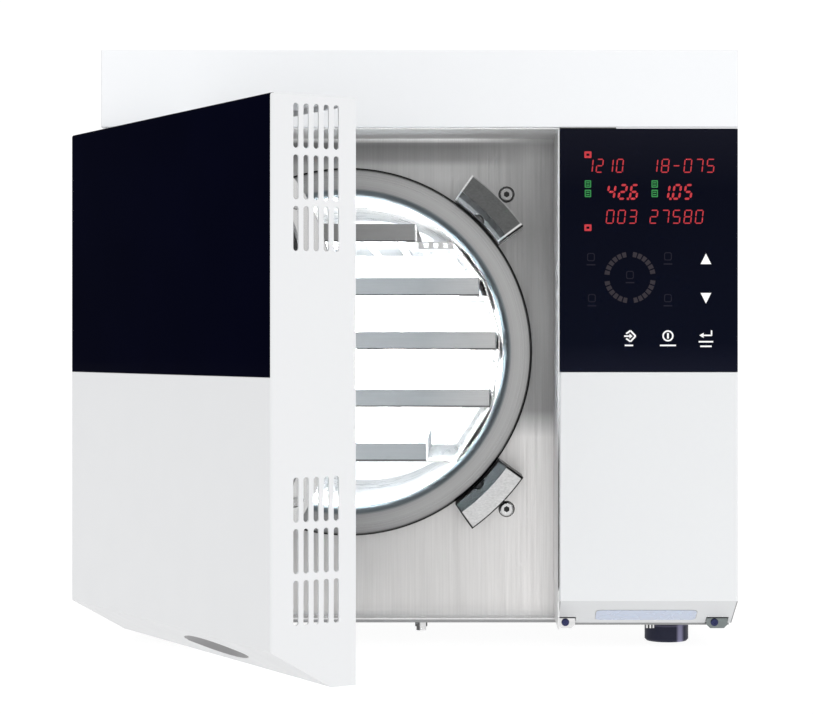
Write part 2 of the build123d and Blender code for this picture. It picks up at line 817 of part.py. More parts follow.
with BuildPart() as tray_rack:
    with BuildSketch(across(rack_front)) as rack_section:
        with BuildLine() as rack_line:
            Polyline(*rack_side)
            offset(amount=rack_sheet / 2, kind=Kind.INTERSECTION, side=Side.BOTH)
        make_face()
        for ledge_z, ledge_x in ledges:
            with Locations((ledge_x - ledge_width / 2, ledge_z - rack_sheet / 2)):
                Rectangle(ledge_width, rack_sheet)
        mirror(about=Plane.YZ)
    extrude(amount=-rack_length)
    for y in (rack_front, rack_front + rack_length - strap_depth):
        with BuildSketch(Plane.XY.offset(chamber_z + rack_bottom - rack_sheet)):
            with Locations((chamber_x, y + strap_depth / 2)):
                Rectangle(strap_width, strap_depth)
        extrude(amount=rack_sheet)
    for y in (rack_front, rack_front + rack_length - rack_sheet):
        with BuildSketch(across(y)):
            for side in (-1, 1):
                with Locations((side * strip_x, rack_top - strip_height / 2)):
                    Rectangle(strip_width, strip_height)
                    with GridLocations(strip_hole_pitch, 0, 3, 1):
                        Rectangle(strip_hole, strip_hole, mode=Mode.SUBTRACT)
        extrude(amount=-rack_sheet)
    with BuildSketch(Plane.YZ.offset(chamber_x - bore_radius)):
        for window_rise, window_size in rack_window_rows:
            with Locations((rack_front + rack_length / 2, chamber_z + window_rise)):
                with GridLocations(rack_window_pitch, 0, 3, 1):
                    RectangleRounded(rack_window, window_size, rack_window_corner)
    extrude(amount=2 * bore_radius, mode=Mode.SUBTRACT)
tray_rack.part.label = "tray_rack"
export_step(tray_rack.part, "parts/tray_rack.step")

# Shelf over the chamber for the two water tanks
shelf_z = chamber_z + jacket_radius + 4.0
shelf_front = fascia_y + 40.0
shelf_rear = rear_y - 60.0
shelf_flange = 10.0
with BuildPart() as tank_shelf:
    with BuildSketch(Plane.XY.offset(shelf_z)):
        with Locations((0, (shelf_front + shelf_rear) / 2)):
            Rectangle(2 * (right_x - sheet), shelf_rear - shelf_front)
    extrude(amount=sheet)
    with BuildSketch(Plane.XY.offset(shelf_z)):
        for x in (left_x + 1.5 * sheet, right_x - 1.5 * sheet):
            with Locations((x, (shelf_front + shelf_rear) / 2)):
                Rectangle(sheet, shelf_rear - shelf_front)
    extrude(amount=-shelf_flange)
tank_shelf.part.label = "tank_shelf"
export_step(tank_shelf.part, "parts/tank_shelf.step")

# Clean water tank with the filler neck that meets the top panel
tank_wall = 3.0
tank_floor = shelf_z + sheet
tank_top = top_z - 18.0
clean_width = 250.0
clean_depth = 280.0
clean_x = filler_x
clean_y = (shelf_front + shelf_rear) / 2 + 6.0
tank_corner = 14.0
neck_wall = 2.5
with BuildPart() as clean_water_tank:
    with BuildSketch(Plane.XY.offset(tank_floor)):
        with Locations((clean_x, clean_y)):
            RectangleRounded(clean_width, clean_depth, tank_corner)
    extrude(amount=tank_top - tank_floor)
    with BuildSketch(Plane.XY.offset(tank_top)):
        with Locations((filler_x, filler_y)):
            RectangleRounded(
                filler_width + 2 * neck_wall, filler_depth + 2 * neck_wall, filler_corner + neck_wall
            )
    extrude(amount=top_z - sheet - tank_top)
    with BuildSketch(Plane.XY.offset(tank_floor + tank_wall)):
        with Locations((clean_x, clean_y)):
            RectangleRounded(
                clean_width - 2 * tank_wall, clean_depth - 2 * tank_wall, tank_corner - tank_wall
            )
    extrude(amount=tank_top - tank_floor - 2 * tank_wall, mode=Mode.SUBTRACT)
    with BuildSketch(Plane.XY.offset(tank_top - tank_wall)):
        with Locations((filler_x, filler_y)):
            RectangleRounded(filler_width, filler_depth, filler_corner)
    extrude(amount=top_z - tank_top + tank_wall, mode=Mode.SUBTRACT)
clean_water_tank.part.label = "clean_water_tank"
export_step(clean_water_tank.part, "parts/clean_water_tank.step")

# Used water tank beside it, closed but for a screw cap
tank_gap = 34.0
used_left = clean_x + clean_width / 2 + tank_gap
used_right = right_x - 20.0
used_width = used_right - used_left
used_x = (used_left + used_right) / 2
used_drop = 8.0
used_edge = 6.0
cap_radius = 20.0
cap_height = 12.0
cap_offset = 90.0
with BuildPart() as used_water_tank:
    with BuildSketch(Plane.XY.offset(tank_floor)):
        with Locations((used_x, clean_y)):
            RectangleRounded(used_width, clean_depth, tank_corner)
    extrude(amount=tank_top - used_drop - tank_floor)
    fillet(used_water_tank.faces().sort_by(Axis.Z)[-1].edges(), used_edge)
    with BuildSketch(Plane.XY.offset(tank_top - used_drop)):
        with Locations((used_x, clean_y + cap_offset)):
            Circle(cap_radius)
    extrude(amount=cap_height)
used_water_tank.part.label = "used_water_tank"
export_step(used_water_tank.part, "parts/used_water_tank.step")

# Steam generator: an upright boiler with a bolted cover and its element terminals
boiler_rim = 8.0
boiler_flange = 0.375 * side_bay
boiler_radius = boiler_flange - boiler_rim
boiler_x = right_x - boiler_flange - 10.0
boiler_y = front_y + 190.0
boiler_height = 190.0
boiler_foot = 5.0
boiler_cover = 8.0
cover_bolt_ring = boiler_flange - 10.0
cover_bolt_radius = 5.0
terminal_ring = boiler_flange / 3
terminal_radius = 4.0
terminal_height = 10.0
with BuildPart() as steam_generator:
    with BuildSketch(Plane.XY.offset(pan_top)):
        with Locations((boiler_x, boiler_y)):
            Circle(boiler_flange)
    extrude(amount=boiler_foot)
    with BuildSketch(Plane.XY.offset(pan_top)):
        with Locations((boiler_x, boiler_y)):
            Circle(boiler_radius)
    extrude(amount=boiler_height)
    with BuildSketch(Plane.XY.offset(pan_top + boiler_height)):
        with Locations((boiler_x, boiler_y)):
            Circle(boiler_flange)
    extrude(amount=boiler_cover)
    chamfer(steam_generator.edges().group_by(Axis.Z)[-1], 2.0)
    with BuildSketch(Plane.XY.offset(pan_top + boiler_height + boiler_cover)):
        with Locations((boiler_x, boiler_y)):
            with PolarLocations(cover_bolt_ring, 6):
                RegularPolygon(cover_bolt_radius, 6)
            with PolarLocations(terminal_ring, 3):
                Circle(terminal_radius)
    extrude(amount=terminal_height)
steam_generator.part.label = "steam_generator"
export_step(steam_generator.part, "parts/steam_generator.step")

# Vacuum pump: motor barrel with a two-chamber head on rubber-mounted feet
pump_x = right_x - 70.0
pump_y = rear_y - 170.0
pump_radius = 38.0
pump_length = 110.0
pump_axis_z = pan_top + 50.0
pump_edge = 3.0
head_size = 84.0
head_depth = 34.0
head_corner = 10.0
valve_cap_width = 60.0
valve_cap_height = 30.0
valve_cap_depth = 16.0
pump_foot_width = 70.0
pump_foot_length = 90.0
pump_foot_height = 16.0
with BuildPart() as vacuum_pump:
    with BuildSketch(facing(pump_y - pump_length / 2)):
        with Locations((pump_x, pump_axis_z)):
            Circle(pump_radius)
    extrude(amount=-pump_length)
    chamfer(vacuum_pump.edges().filter_by(GeomType.CIRCLE), pump_edge)
    with BuildSketch(facing(pump_y - pump_length / 2)):
        with Locations((pump_x, pump_axis_z)):
            RectangleRounded(head_size, head_size, head_corner)
    extrude(amount=head_depth)
    with BuildSketch(facing(pump_y - pump_length / 2 - (head_depth - valve_cap_depth) / 2)):
        with Locations((pump_x, pump_axis_z + head_size / 2)):
            Rectangle(valve_cap_width, valve_cap_height)
    extrude(amount=valve_cap_depth)
    with BuildSketch(Plane.XY.offset(pan_top)):
        with Locations((pump_x, pump_y)):
            Rectangle(pump_foot_width, pump_foot_length)
    extrude(amount=pump_foot_height)
vacuum_pump.part.label = "vacuum_pump"
export_step(vacuum_pump.part, "parts/vacuum_pump.step")

# Fan: square frame with a spoked hub, in front of the grille
fan_front = rear_inner_y - fan_depth
fan_corner = 6.0
fan_screw_radius = 2.2
hub_radius = 20.0
spoke_width = 6.0
spoke_depth = 4.0
fan_shaft_radius = 3.0
fan_shaft_length = 12.0
with BuildPart() as fan_frame:
    with BuildSketch(facing(fan_front)):
        with Locations((fan_x, fan_z)):
            RectangleRounded(fan_size, fan_size, fan_corner)
            Circle(fan_bore, mode=Mode.SUBTRACT)
            with GridLocations(fan_screw_pitch, fan_screw_pitch, 2, 2):
                Circle(fan_screw_radius, mode=Mode.SUBTRACT)
    extrude(amount=-fan_depth)
    with BuildSketch(facing(fan_front)):
        with Locations((fan_x, fan_z)):
            Circle(hub_radius)
            with PolarLocations(fan_bore / 2, 4, 45):
                Rectangle(fan_bore + spoke_width, spoke_width)
    extrude(amount=-spoke_depth)
    with BuildSketch(facing(fan_front + spoke_depth)):
        with Locations((fan_x, fan_z)):
            Circle(fan_shaft_radius)
    extrude(amount=-fan_shaft_length)
fan_frame.part.label = "fan_frame"
export_step(fan_frame.part, "parts/fan_frame.step")

# Fan rotor: hub cup and seven twisted blades
rotor_front = fan_front + spoke_depth + 1.0
rotor_depth = 17.0
blade_count = 7
blade_thickness = 1.8
blade_tip = fan_bore - 2.0
blade_pitch = 38.0
blade_twist = 8.0
blade_root_width = 14.0
blade_tip_width = 18.0
blade_sunk = 1.5
hub_edge = 2.0
with BuildPart() as fan_rotor:
    with BuildSketch(facing(rotor_front)):
        with Locations((fan_x, fan_z)):
            Circle(hub_radius)
    extrude(amount=-rotor_depth)
    fillet(fan_rotor.edges().group_by(Axis.Y)[-1], hub_edge)
    for blade in range(blade_count):
        angle = 360 / blade_count * blade
        spoke = Vector(cos(radians(angle)), 0, sin(radians(angle)))
        root = Plane(
            origin=Vector(fan_x, rotor_front + rotor_depth / 2, fan_z)
            + spoke * (hub_radius - blade_sunk),
            x_dir=(0, 1, 0),
            z_dir=spoke,
        )
        with BuildSketch(root):
            Rectangle(blade_root_width, blade_thickness, rotation=blade_pitch + blade_twist)
        with BuildSketch(root.offset(blade_tip - hub_radius + blade_sunk)):
            Rectangle(blade_tip_width, blade_thickness, rotation=blade_pitch - blade_twist)
        loft()
    with BuildSketch(facing(rotor_front)):
        with Locations((fan_x, fan_z)):
            Circle(fan_shaft_radius + shaft_fit)
    extrude(amount=-fan_shaft_length, mode=Mode.SUBTRACT)
fan_rotor.part.label = "fan_rotor"
export_step(fan_rotor.part, "parts/fan_rotor.step")

# Condenser: flat tubes between two upright headers, with cooling fins, in front of the fan
fin_count = 15
fin_thickness = 1.0
fin_height = 96.0
condenser_depth = 40.0
condenser_front = fan_front - condenser_depth
header_radius = 8.0
tube_rows = 5
tube_depth = 30.0
tube_height = 3.0
tube_pitch = 20.0
with BuildPart() as condenser:
    with BuildSketch(facing(condenser_front)):
        with Locations((fan_x, fan_z)):
            with GridLocations((fan_size - 4 * header_radius) / fin_count, 0, fin_count, 1):
                Rectangle(fin_thickness, fin_height)
    extrude(amount=-condenser_depth)
    with BuildSketch(Plane.YZ.offset(fan_x - fan_size / 2 + header_radius)):
        with Locations((condenser_front + condenser_depth / 2, fan_z)):
            with GridLocations(0, tube_pitch, 1, tube_rows):
                Rectangle(tube_depth, tube_height)
    extrude(amount=fan_size - 2 * header_radius)
    with BuildSketch(Plane.XY.offset(fan_z - fan_size / 2)):
        with Locations((fan_x, condenser_front + condenser_depth / 2)):
            with GridLocations(fan_size - 2 * header_radius, 0, 2, 1):
                Circle(header_radius)
    extrude(amount=fan_size)
condenser.part.label = "condenser"
export_step(condenser.part, "parts/condenser.step")

# Valve block: manifold bar on the back, with four solenoid coils
manifold_x = left_x + 120.0
manifold_z = floor_z + 112.0
manifold_length = 150.0
manifold_height = 30.0
manifold_depth = 26.0
manifold_corner = 3.0
coil_pitch = 36.0
coil_radius = 14.0
coil_length = 34.0
coil_nut_radius = 6.0
coil_nut_height = 5.0
with BuildPart() as valve_block:
    with BuildSketch(facing(rear_inner_y - manifold_depth)):
        with Locations((manifold_x, manifold_z)):
            RectangleRounded(manifold_length, manifold_height, manifold_corner)
    extrude(amount=-manifold_depth)
    with BuildSketch(facing(rear_inner_y - manifold_depth)):
        with Locations((manifold_x, manifold_z)):
            with GridLocations(coil_pitch, 0, 4, 1):
                Circle(coil_radius)
    extrude(amount=coil_length)
    with BuildSketch(facing(rear_inner_y - manifold_depth - coil_length)):
        with Locations((manifold_x, manifold_z)):
            with GridLocations(coil_pitch, 0, 4, 1):
                RegularPolygon(coil_nut_radius, 6)
    extrude(amount=coil_nut_height)
valve_block.part.label = "valve_block"
export_step(valve_block.part, "parts/valve_block.step")

# Power board on the right side panel
board_standoff = 8.0
board_x = right_x - sheet - board_standoff
board_centre_y = rear_y - 260.0
board_centre_z = top_z - 185.0
board_size = (170.0, 120.0)
board_inset = 16.0
board_build = 30.0
standoff_radius = 3.5
transformer_size = (54.0, 46.0)
capacitor_radius = 8.0
relay_size = (16.0, 20.0)
with BuildPart() as power_board:
    with BuildSketch(Plane.YZ.offset(board_x - board_thickness)):
        with Locations((board_centre_y, board_centre_z)):
            RectangleRounded(*board_size, 3.0)
    extrude(amount=board_thickness)
    with BuildSketch(Plane.YZ.offset(board_x)):
        with Locations((board_centre_y, board_centre_z)):
            with GridLocations(board_size[0] - board_inset, board_size[1] - board_inset, 2, 2):
                Circle(standoff_radius)
    extrude(amount=board_standoff)
    with BuildSketch(Plane.YZ.offset(board_x - board_thickness)):
        with Locations((board_centre_y - 40, board_centre_z + 20)):
            Rectangle(*transformer_size)
        with Locations((board_centre_y + 30, board_centre_z + 28)):
            with GridLocations(20.0, 0, 3, 1):
                Circle(capacitor_radius)
        with Locations((board_centre_y + 20, board_centre_z - 30)):
            with GridLocations(1.5 * relay_size[0], 0, 4, 1):
                Rectangle(*relay_size)
    extrude(amount=-board_build)
power_board.part.label = "power_board"
export_step(power_board.part, "parts/power_board.step")

# Mains inlet: flanged socket body with three blades
inlet_flange = 3.0
inlet_body = 28.0
inlet_rim = (12.0, 8.0)
socket_size = (26.0, 18.0)
inlet_socket_depth = 20.0
blade_size = (2.0, 5.0)
blade_spacing = 7.0
blade_length = 14.0
with BuildPart() as mains_inlet:
    with BuildSketch(facing(rear_face_y)):
        with Locations((inlet_x, power_z)):
            RectangleRounded(inlet_width + inlet_rim[0], inlet_height + inlet_rim[1], 3.0)
    extrude(amount=-inlet_flange)
    with BuildSketch(facing(rear_face_y)):
        with Locations((inlet_x, power_z)):
            Rectangle(inlet_width - 2 * cutout_fit, inlet_height - 2 * cutout_fit)
    extrude(amount=inlet_body)
    with BuildSketch(facing(rear_face_y + inlet_flange)):
        with Locations((inlet_x, power_z)):
            RectangleRounded(*socket_size, 4.0)
    extrude(amount=inlet_socket_depth, mode=Mode.SUBTRACT)
    with BuildSketch(facing(rear_face_y + inlet_flange - inlet_socket_depth)):
        with Locations((inlet_x, power_z - 2.0)):
            with GridLocations(blade_spacing, 0, 3, 1):
                Rectangle(*blade_size)
    extrude(amount=-blade_length)
mains_inlet.part.label = "mains_inlet"
export_step(mains_inlet.part, "parts/mains_inlet.step")

# Mains switch: bezel with a rocker on a cross pin
bezel_wall = 2.0
bezel_flange = 2.0
bezel_rim = 6.0
bezel_body = 24.0
bezel_pocket = 20.0
rocker_room = 1.0
rocker_length = switch_height - 2 * bezel_wall - rocker_room
rocker_width = switch_width - 2 * bezel_wall - rocker_room
rocker_tilt = 9.0
rocker_pin_radius = 1.5
rocker_y = rear_face_y - 3.0
with BuildPart() as switch_bezel:
    with BuildSketch(facing(rear_face_y)):
        with Locations((switch_x, power_z)):
            RectangleRounded(switch_width + bezel_rim, switch_height + bezel_rim, 2.0)
    extrude(amount=-bezel_flange)
    with BuildSketch(facing(rear_face_y)):
        with Locations((switch_x, power_z)):
            Rectangle(switch_width - 2 * cutout_fit, switch_height - 2 * cutout_fit)
    extrude(amount=bezel_body)
    with BuildSketch(facing(rear_face_y + bezel_flange)):
        with Locations((switch_x, power_z)):
            Rectangle(rocker_width + rocker_room, rocker_length + rocker_room)
    extrude(amount=bezel_pocket, mode=Mode.SUBTRACT)
    with BuildSketch(Plane.YZ.offset(switch_x - switch_width / 2 + 1.0)):
        with Locations((rocker_y, power_z)):
            Circle(rocker_pin_radius)
    extrude(amount=switch_width - 2.0)
switch_bezel.part.label = "switch_bezel"
export_step(switch_bezel.part, "parts/switch_bezel.step")

rocker_face = rear_face_y + 5.0
rocker_valley = rear_face_y + 3.4
rocker_end = rocker_length / 2 - 1.2
rocker_belly = rocker_length / 2 - 0.6
rocker_tail = 6.0
rocker_tail_half = 3.0
with BuildPart() as switch_rocker:
    with BuildSketch(Plane.YZ.offset(switch_x - rocker_width / 2)):
        with BuildLine():
            ThreePointArc(
                (rocker_face, power_z + rocker_end),
                (rocker_valley, power_z),
                (rocker_face, power_z - rocker_end),
            )
            Polyline(
                (rocker_face, power_z - rocker_end),
                (rocker_y, power_z - rocker_belly),
                (rocker_y - rocker_tail, power_z - rocker_tail_half),
                (rocker_y - rocker_tail, power_z + rocker_tail_half),
                (rocker_y, power_z + rocker_belly),
                (rocker_face, power_z + rocker_end),
            )
        make_face()
    extrude(amount=rocker_width)
    with BuildSketch(Plane.YZ.offset(switch_x - rocker_width / 2)):
        with Locations((rocker_y, power_z)):
            Circle(rocker_pin_radius + shaft_fit)
    extrude(amount=rocker_width, mode=Mode.SUBTRACT)
switch_rocker.part = switch_rocker.part.rotate(
    Axis((0, rocker_y, power_z), (1, 0, 0)), -rocker_tilt
)
switch_rocker.part.label = "switch_rocker"
export_step(switch_rocker.part, "parts/switch_rocker.step")

# Safety valve: body through the back with a lock nut, and a pull knob on its stem
safety_axis = Axis((safety_x, 0, safety_z), (0, 1, 0))
safety_inside = 40.0
safety_outside = 14.0
stem_radius = 3.0
knob_gap = 0.3
knob_radius = 9.0
knob_length = 10.0
stem_length = 8.0
safety_neck_radius = 8.0
safety_collar_radius = 13.0
safety_collar = 12.0
safety_nut_radius = 14.0
safety_nut = 5.0
safety_plane = Plane(origin=(safety_x, 0, safety_z), x_dir=(0, 1, 0), z_dir=(1, 0, 0))
with BuildPart() as safety_valve_body:
    with BuildSketch(safety_plane):
        with BuildLine():
            Polyline(
                (rear_inner_y - safety_inside, 0),
                (rear_inner_y - safety_inside, safety_neck_radius),
                (rear_inner_y - safety_collar, safety_neck_radius),
                (rear_inner_y - safety_collar, safety_collar_radius),
                (rear_inner_y, safety_collar_radius),
                (rear_inner_y, safety_thread_radius),
                (rear_face_y + safety_outside, safety_thread_radius),
                (rear_face_y + safety_outside, stem_radius + shaft_fit),
                (rear_face_y + safety_outside - stem_length, stem_radius + shaft_fit),
                (rear_face_y + safety_outside - stem_length, 0),
                close=True,
            )
        make_face()
    revolve(axis=safety_axis)
    with BuildSketch(facing(rear_face_y)):
        with Locations((safety_x, safety_z)):
            RegularPolygon(safety_nut_radius, 6)
            Circle(safety_thread_radius - 1.0, mode=Mode.SUBTRACT)
    extrude(amount=-safety_nut)
safety_valve_body.part.label = "safety_valve_body"
export_step(safety_valve_body.part, "parts/safety_valve_body.step")

knob_start = rear_face_y + safety_outside + knob_gap
knob_grooves = 12
knob_groove_radius = 0.9
with BuildPart() as safety_valve_knob:
    with BuildSketch(facing(knob_start)):
        with Locations((safety_x, safety_z)):
            Circle(knob_radius)
            with PolarLocations(knob_radius, knob_grooves):
                Circle(knob_groove_radius, mode=Mode.SUBTRACT)
    extrude(amount=-knob_length)
    with BuildSketch(facing(knob_start)):
        with Locations((safety_x, safety_z)):
            Circle(stem_radius)
    extrude(amount=stem_length - 2 * knob_gap)
safety_valve_knob.part.label = "safety_valve_knob"
export_step(safety_valve_knob.part, "parts/safety_valve_knob.step")

# Drain taps on the back: hexagon bodies with hose tails
tap_shank = 14.0
tap_hex_radius = 12.0
tap_hex = 6.0
tail_radius = 5.5
tail_length = 16.0
tail_edge = 1.0
tail_bore = 3.2
with BuildPart() as rear_drain_taps:
    with BuildSketch(facing(rear_face_y)):
        with Locations(*rear_drains):
            Circle(rear_drain_radius)
    extrude(amount=tap_shank)
    with BuildSketch(facing(rear_face_y)):
        with Locations(*rear_drains):
            RegularPolygon(tap_hex_radius, 6)
    extrude(amount=-tap_hex)
    with BuildSketch(facing(rear_face_y + tap_hex)):
        with Locations(*rear_drains):
            Circle(tail_radius)
    extrude(amount=-tail_length)
    chamfer(rear_drain_taps.edges().group_by(Axis.Y)[-1], tail_edge)
    with BuildSketch(facing(rear_face_y - tap_shank)):
        with Locations(*rear_drains):
            Circle(tail_bore)
    extrude(amount=-(tap_shank + tap_hex + tail_length), mode=Mode.SUBTRACT)
rear_drain_taps.part.label = "rear_drain_taps"
export_step(rear_drain_taps.part, "parts/rear_drain_taps.step")

# Drain fitting under the fascia, and a small test port in front of the right foot
front_drain_x = left_x + 250.0
front_drain_y = front_y + 80.0
drain_across = 10.0
drain_square = 5.0
drain_nose = 3.5
test_port_x = right_x - 64.7
test_port_y = front_y + 51.0
test_port_radius = 3.6
test_port_height = 3.0
with BuildPart() as drain_fittings:
    with BuildSketch(Plane.XY.offset(floor_z)):
        with Locations((front_drain_x, front_drain_y)):
            RectangleRounded(drain_across, drain_across, 1.5)
    extrude(amount=-drain_square)
    with BuildSketch(Plane.XY.offset(floor_z - drain_square)):
        with Locations((front_drain_x, front_drain_y)):
            Circle(drain_across / 2 - 1.0)
            Circle(drain_across / 2 - 2.5, mode=Mode.SUBTRACT)
    extrude(amount=-drain_nose)
    with BuildSketch(Plane.XY.offset(floor_z)):
        with Locations((test_port_x, test_port_y)):
            Circle(test_port_radius)
    extrude(amount=-test_port_height)
drain_fittings.part.label = "drain_fittings"
export_step(drain_fittings.part, "parts/drain_fittings.step")

# Corner brackets in the notches of the control housing, folded back under the pan
bracket_sheet = 1.5
bracket_low = floor_z - bracket_sheet
bracket_run = 26.0
bracket_corner = 3.0
with BuildPart() as corner_brackets:
    for x, width in bracket_places:
        with BuildSketch(Plane.XY.offset(floor_z)):
            with Locations((x, bracket_front + bracket_run / 2)):
                Rectangle(width - 2 * bracket_corner, bracket_run)
        extrude(amount=-bracket_sheet)
        with BuildSketch(facing(bracket_front)) as bracket_face:
            with Locations((x, (bracket_low + bracket_top) / 2)):
                Rectangle(width, bracket_top - bracket_low)
            chamfer(bracket_face.vertices().group_by(Axis.Y)[0], bracket_corner)
        extrude(amount=-bracket_sheet)
corner_brackets.part.label = "corner_brackets"
export_step(corner_brackets.part, "parts/corner_brackets.step")

# Tank lid: a hinged cover over the filler opening, on two ears and a pin
lid_thickness = 4.0
lid_width = filler_width + 2 * lid_overlap
lid_depth = filler_depth + 2 * lid_overlap
lid_hinge_y = filler_y + lid_depth / 2 + 5.0
lid_hinge_z = top_z + 4.5
lid_pin_radius = 1.5
ear_width = 8.0
ear_radius = 4.0
ear_pitch = 100.0
ear_root_y = filler_y + lid_depth / 2 - 6.0
lid_gap = 0.4
lid_grip_length = 40.0
lid_grip_width = 5.0
with BuildPart() as tank_lid:
    with BuildSketch(Plane.XY.offset(top_z + lid_gap)):
        with Locations((filler_x, filler_y)):
            RectangleRounded(lid_width, lid_depth, filler_corner + 2)
    extrude(amount=lid_thickness)
    fillet(tank_lid.faces().sort_by(Axis.Z)[-1].edges(), 1.5)
    with BuildSketch(Plane.XY.offset(top_z + lid_gap)):
        with Locations((filler_x, filler_y - lid_depth / 2 + 4.0)):
            SlotOverall(lid_grip_length, lid_grip_width)
    extrude(amount=1.2, mode=Mode.SUBTRACT)
    for centre in (-ear_pitch / 2, ear_pitch / 2):
        with BuildSketch(Plane.YZ.offset(filler_x + centre - ear_width / 2)):
            with Locations((lid_hinge_y, lid_hinge_z)):
                Circle(ear_radius)
            with BuildLine():
                Polyline(
                    (lid_hinge_y, lid_hinge_z + ear_radius),
                    (ear_root_y, top_z + lid_gap + lid_thickness),
                    (ear_root_y, top_z + lid_gap + 1.0),
                    (lid_hinge_y, lid_hinge_z - ear_radius + 1.5),
                    close=True,
                )
            make_face()
        extrude(amount=ear_width)
    with BuildSketch(Plane.YZ.offset(filler_x - lid_width / 2)):
        with Locations((lid_hinge_y, lid_hinge_z)):
            Circle(lid_pin_radius + shaft_fit)
    extrude(amount=lid_width, mode=Mode.SUBTRACT)
tank_lid.part.label = "tank_lid"
export_step(tank_lid.part, "parts/tank_lid.step")

lid_bracket_width = 6.0
lid_bracket_gap = 0.4
with BuildPart() as lid_hinge:
    for centre in (-ear_pitch / 2, ear_pitch / 2):
        for side in (-1, 1):
            start = filler_x + centre + side * (ear_width / 2 + lid_bracket_gap)
            with BuildSketch(Plane.YZ.offset(start)):
                with Locations((lid_hinge_y, lid_hinge_z)):
                    Circle(ear_radius)
                with Locations((lid_hinge_y, (top_z + lid_hinge_z) / 2)):
                    Rectangle(2 * ear_radius, lid_hinge_z - top_z)
            extrude(amount=side * lid_bracket_width)
    with BuildSketch(Plane.YZ.offset(filler_x - ear_pitch / 2 - ear_width)):
        with Locations((lid_hinge_y, lid_hinge_z)):
            Circle(lid_pin_radius)
    extrude(amount=ear_pitch + 2 * ear_width)
lid_hinge.part.label = "lid_hinge"
export_step(lid_hinge.part, "parts/lid_hinge.step")

# Door block: the closed outer form that the shell and its glass are cut from
with BuildPart() as door_block:
    with BuildSketch(Plane.YZ.offset(door_left)):
        with BuildLine():
            Polyline(
                (front_y, door_top),
                (front_y, door_face_bottom),
                (front_y + door_bevel_depth, door_bottom),
                (door_back, door_bottom),
                (door_back, door_top),
                close=True,
            )
        make_face()
    extrude(amount=door_width)
    fillet(door_block.edges().filter_by(Axis.Z).group_by(Axis.Y)[0], door_edge_radius)
    fillet(door_block.faces().sort_by(Axis.Z)[-1].edges().group_by(Axis.Y)[0], door_edge_radius)

# Finger scoop: a spindle laid on the bevel, and the cup that closes it inside
scoop_centre = 223.0
scoop_share = 0.5
scoop_length = 118.0
scoop_radius = 15.0
scoop_lift = 4.0
scoop_wall = 1.5
door_drop = door_face_bottom - door_bottom
door_slope = atan2(door_drop, door_bevel_depth)
scoop_origin = Vector(
    door_left + scoop_centre,
    front_y + door_bevel_depth * scoop_share - scoop_lift * sin(door_slope),
    door_face_bottom - door_drop * scoop_share - scoop_lift * cos(door_slope),
)
scoop_plane = Plane(
    origin=scoop_origin, x_dir=(1, 0, 0), z_dir=(0, -cos(door_slope), sin(door_slope))
)
with BuildPart() as scoop_void:
    with BuildSketch(scoop_plane):
        with BuildLine():
            ThreePointArc((-scoop_length / 2, 0), (0, scoop_radius), (scoop_length / 2, 0))
            Line((scoop_length / 2, 0), (-scoop_length / 2, 0))
        make_face()
    revolve(axis=Axis(scoop_origin, (1, 0, 0)))
with BuildPart() as scoop_cup:
    with BuildSketch(scoop_plane):
        with BuildLine():
            ThreePointArc(
                (-scoop_length / 2 - 2 * scoop_wall, 0),
                (0, scoop_radius + scoop_wall),
                (scoop_length / 2 + 2 * scoop_wall, 0),
            )
            Line(
                (scoop_length / 2 + 2 * scoop_wall, 0), (-scoop_length / 2 - 2 * scoop_wall, 0)
            )
        make_face()
    revolve(axis=Axis(scoop_origin, (1, 0, 0)))
    add(door_block.part, mode=Mode.INTERSECT)

# Door shell: open at the back, vented on its free side, notched for the hinge
vent_columns = 5
vent_pitch = 7.6
vent_width = 4.0
vent_length = 30.0
vent_row_pitch = 34.3
vent_first_depth = 18.9
vent_top_centre = 355.6
vent_low_centre = 106.2
glass_inset = 1.0
glass_side_fit = 0.1
notch_front = 17.0
notch_half_height = lug_inner + lug_height + 5.0
with BuildPart() as door_shell:
    add(door_block.part)
    with BuildSketch(Plane.YZ.offset(door_left + door_sheet)):
        with BuildLine():
            Polyline(
                (front_y + glass_thickness + door_sheet, door_top - door_sheet),
                (front_y + glass_thickness + door_sheet, divider_z),
                (front_y + door_sheet, divider_z - 2 * door_sheet),
                (front_y + door_sheet, door_face_bottom + door_sheet * tan(door_slope / 2)),
                (front_y + door_bevel_depth, door_bottom + door_sheet),
                (door_back - door_sheet, door_bottom + door_sheet),
                (door_back - door_sheet, door_top - door_sheet),
                close=True,
            )
        make_face()
    extrude(amount=door_width - 2 * door_sheet, mode=Mode.SUBTRACT)
    with BuildSketch(facing(door_back)):
        with Locations(((door_left + door_right) / 2, (door_bottom + door_top) / 2)):
            Rectangle(door_width - 2 * door_return, door_top - door_bottom - 2 * door_return)
    extrude(amount=2 * door_sheet, mode=Mode.SUBTRACT)
    with BuildSketch(facing(front_y)):
        with Locations(((door_left + door_right) / 2, (divider_z + door_top) / 2)):
            Rectangle(door_width - 2 * glass_inset, door_top - divider_z)
    extrude(amount=-glass_thickness, mode=Mode.SUBTRACT)
    add(scoop_cup.part)
    add(scoop_void.part, mode=Mode.SUBTRACT)
    with BuildSketch(Plane.YZ.offset(door_right - door_sheet)):
        vent_centre = front_y + vent_first_depth + vent_pitch * (vent_columns - 1) / 2
        for group_z in (vent_top_centre, vent_low_centre):
            with Locations((vent_centre, group_z)):
                with GridLocations(vent_pitch, vent_row_pitch, vent_columns, 3):
                    SlotOverall(vent_length, vent_width, rotation=90)
    extrude(amount=door_sheet, mode=Mode.SUBTRACT)
    with BuildSketch(Plane.YZ.offset(door_left)):
        with Locations(((front_y + notch_front + door_back) / 2, chamber_z)):
            Rectangle(door_depth - notch_front, 2 * notch_half_height)
    extrude(amount=door_return, mode=Mode.SUBTRACT)
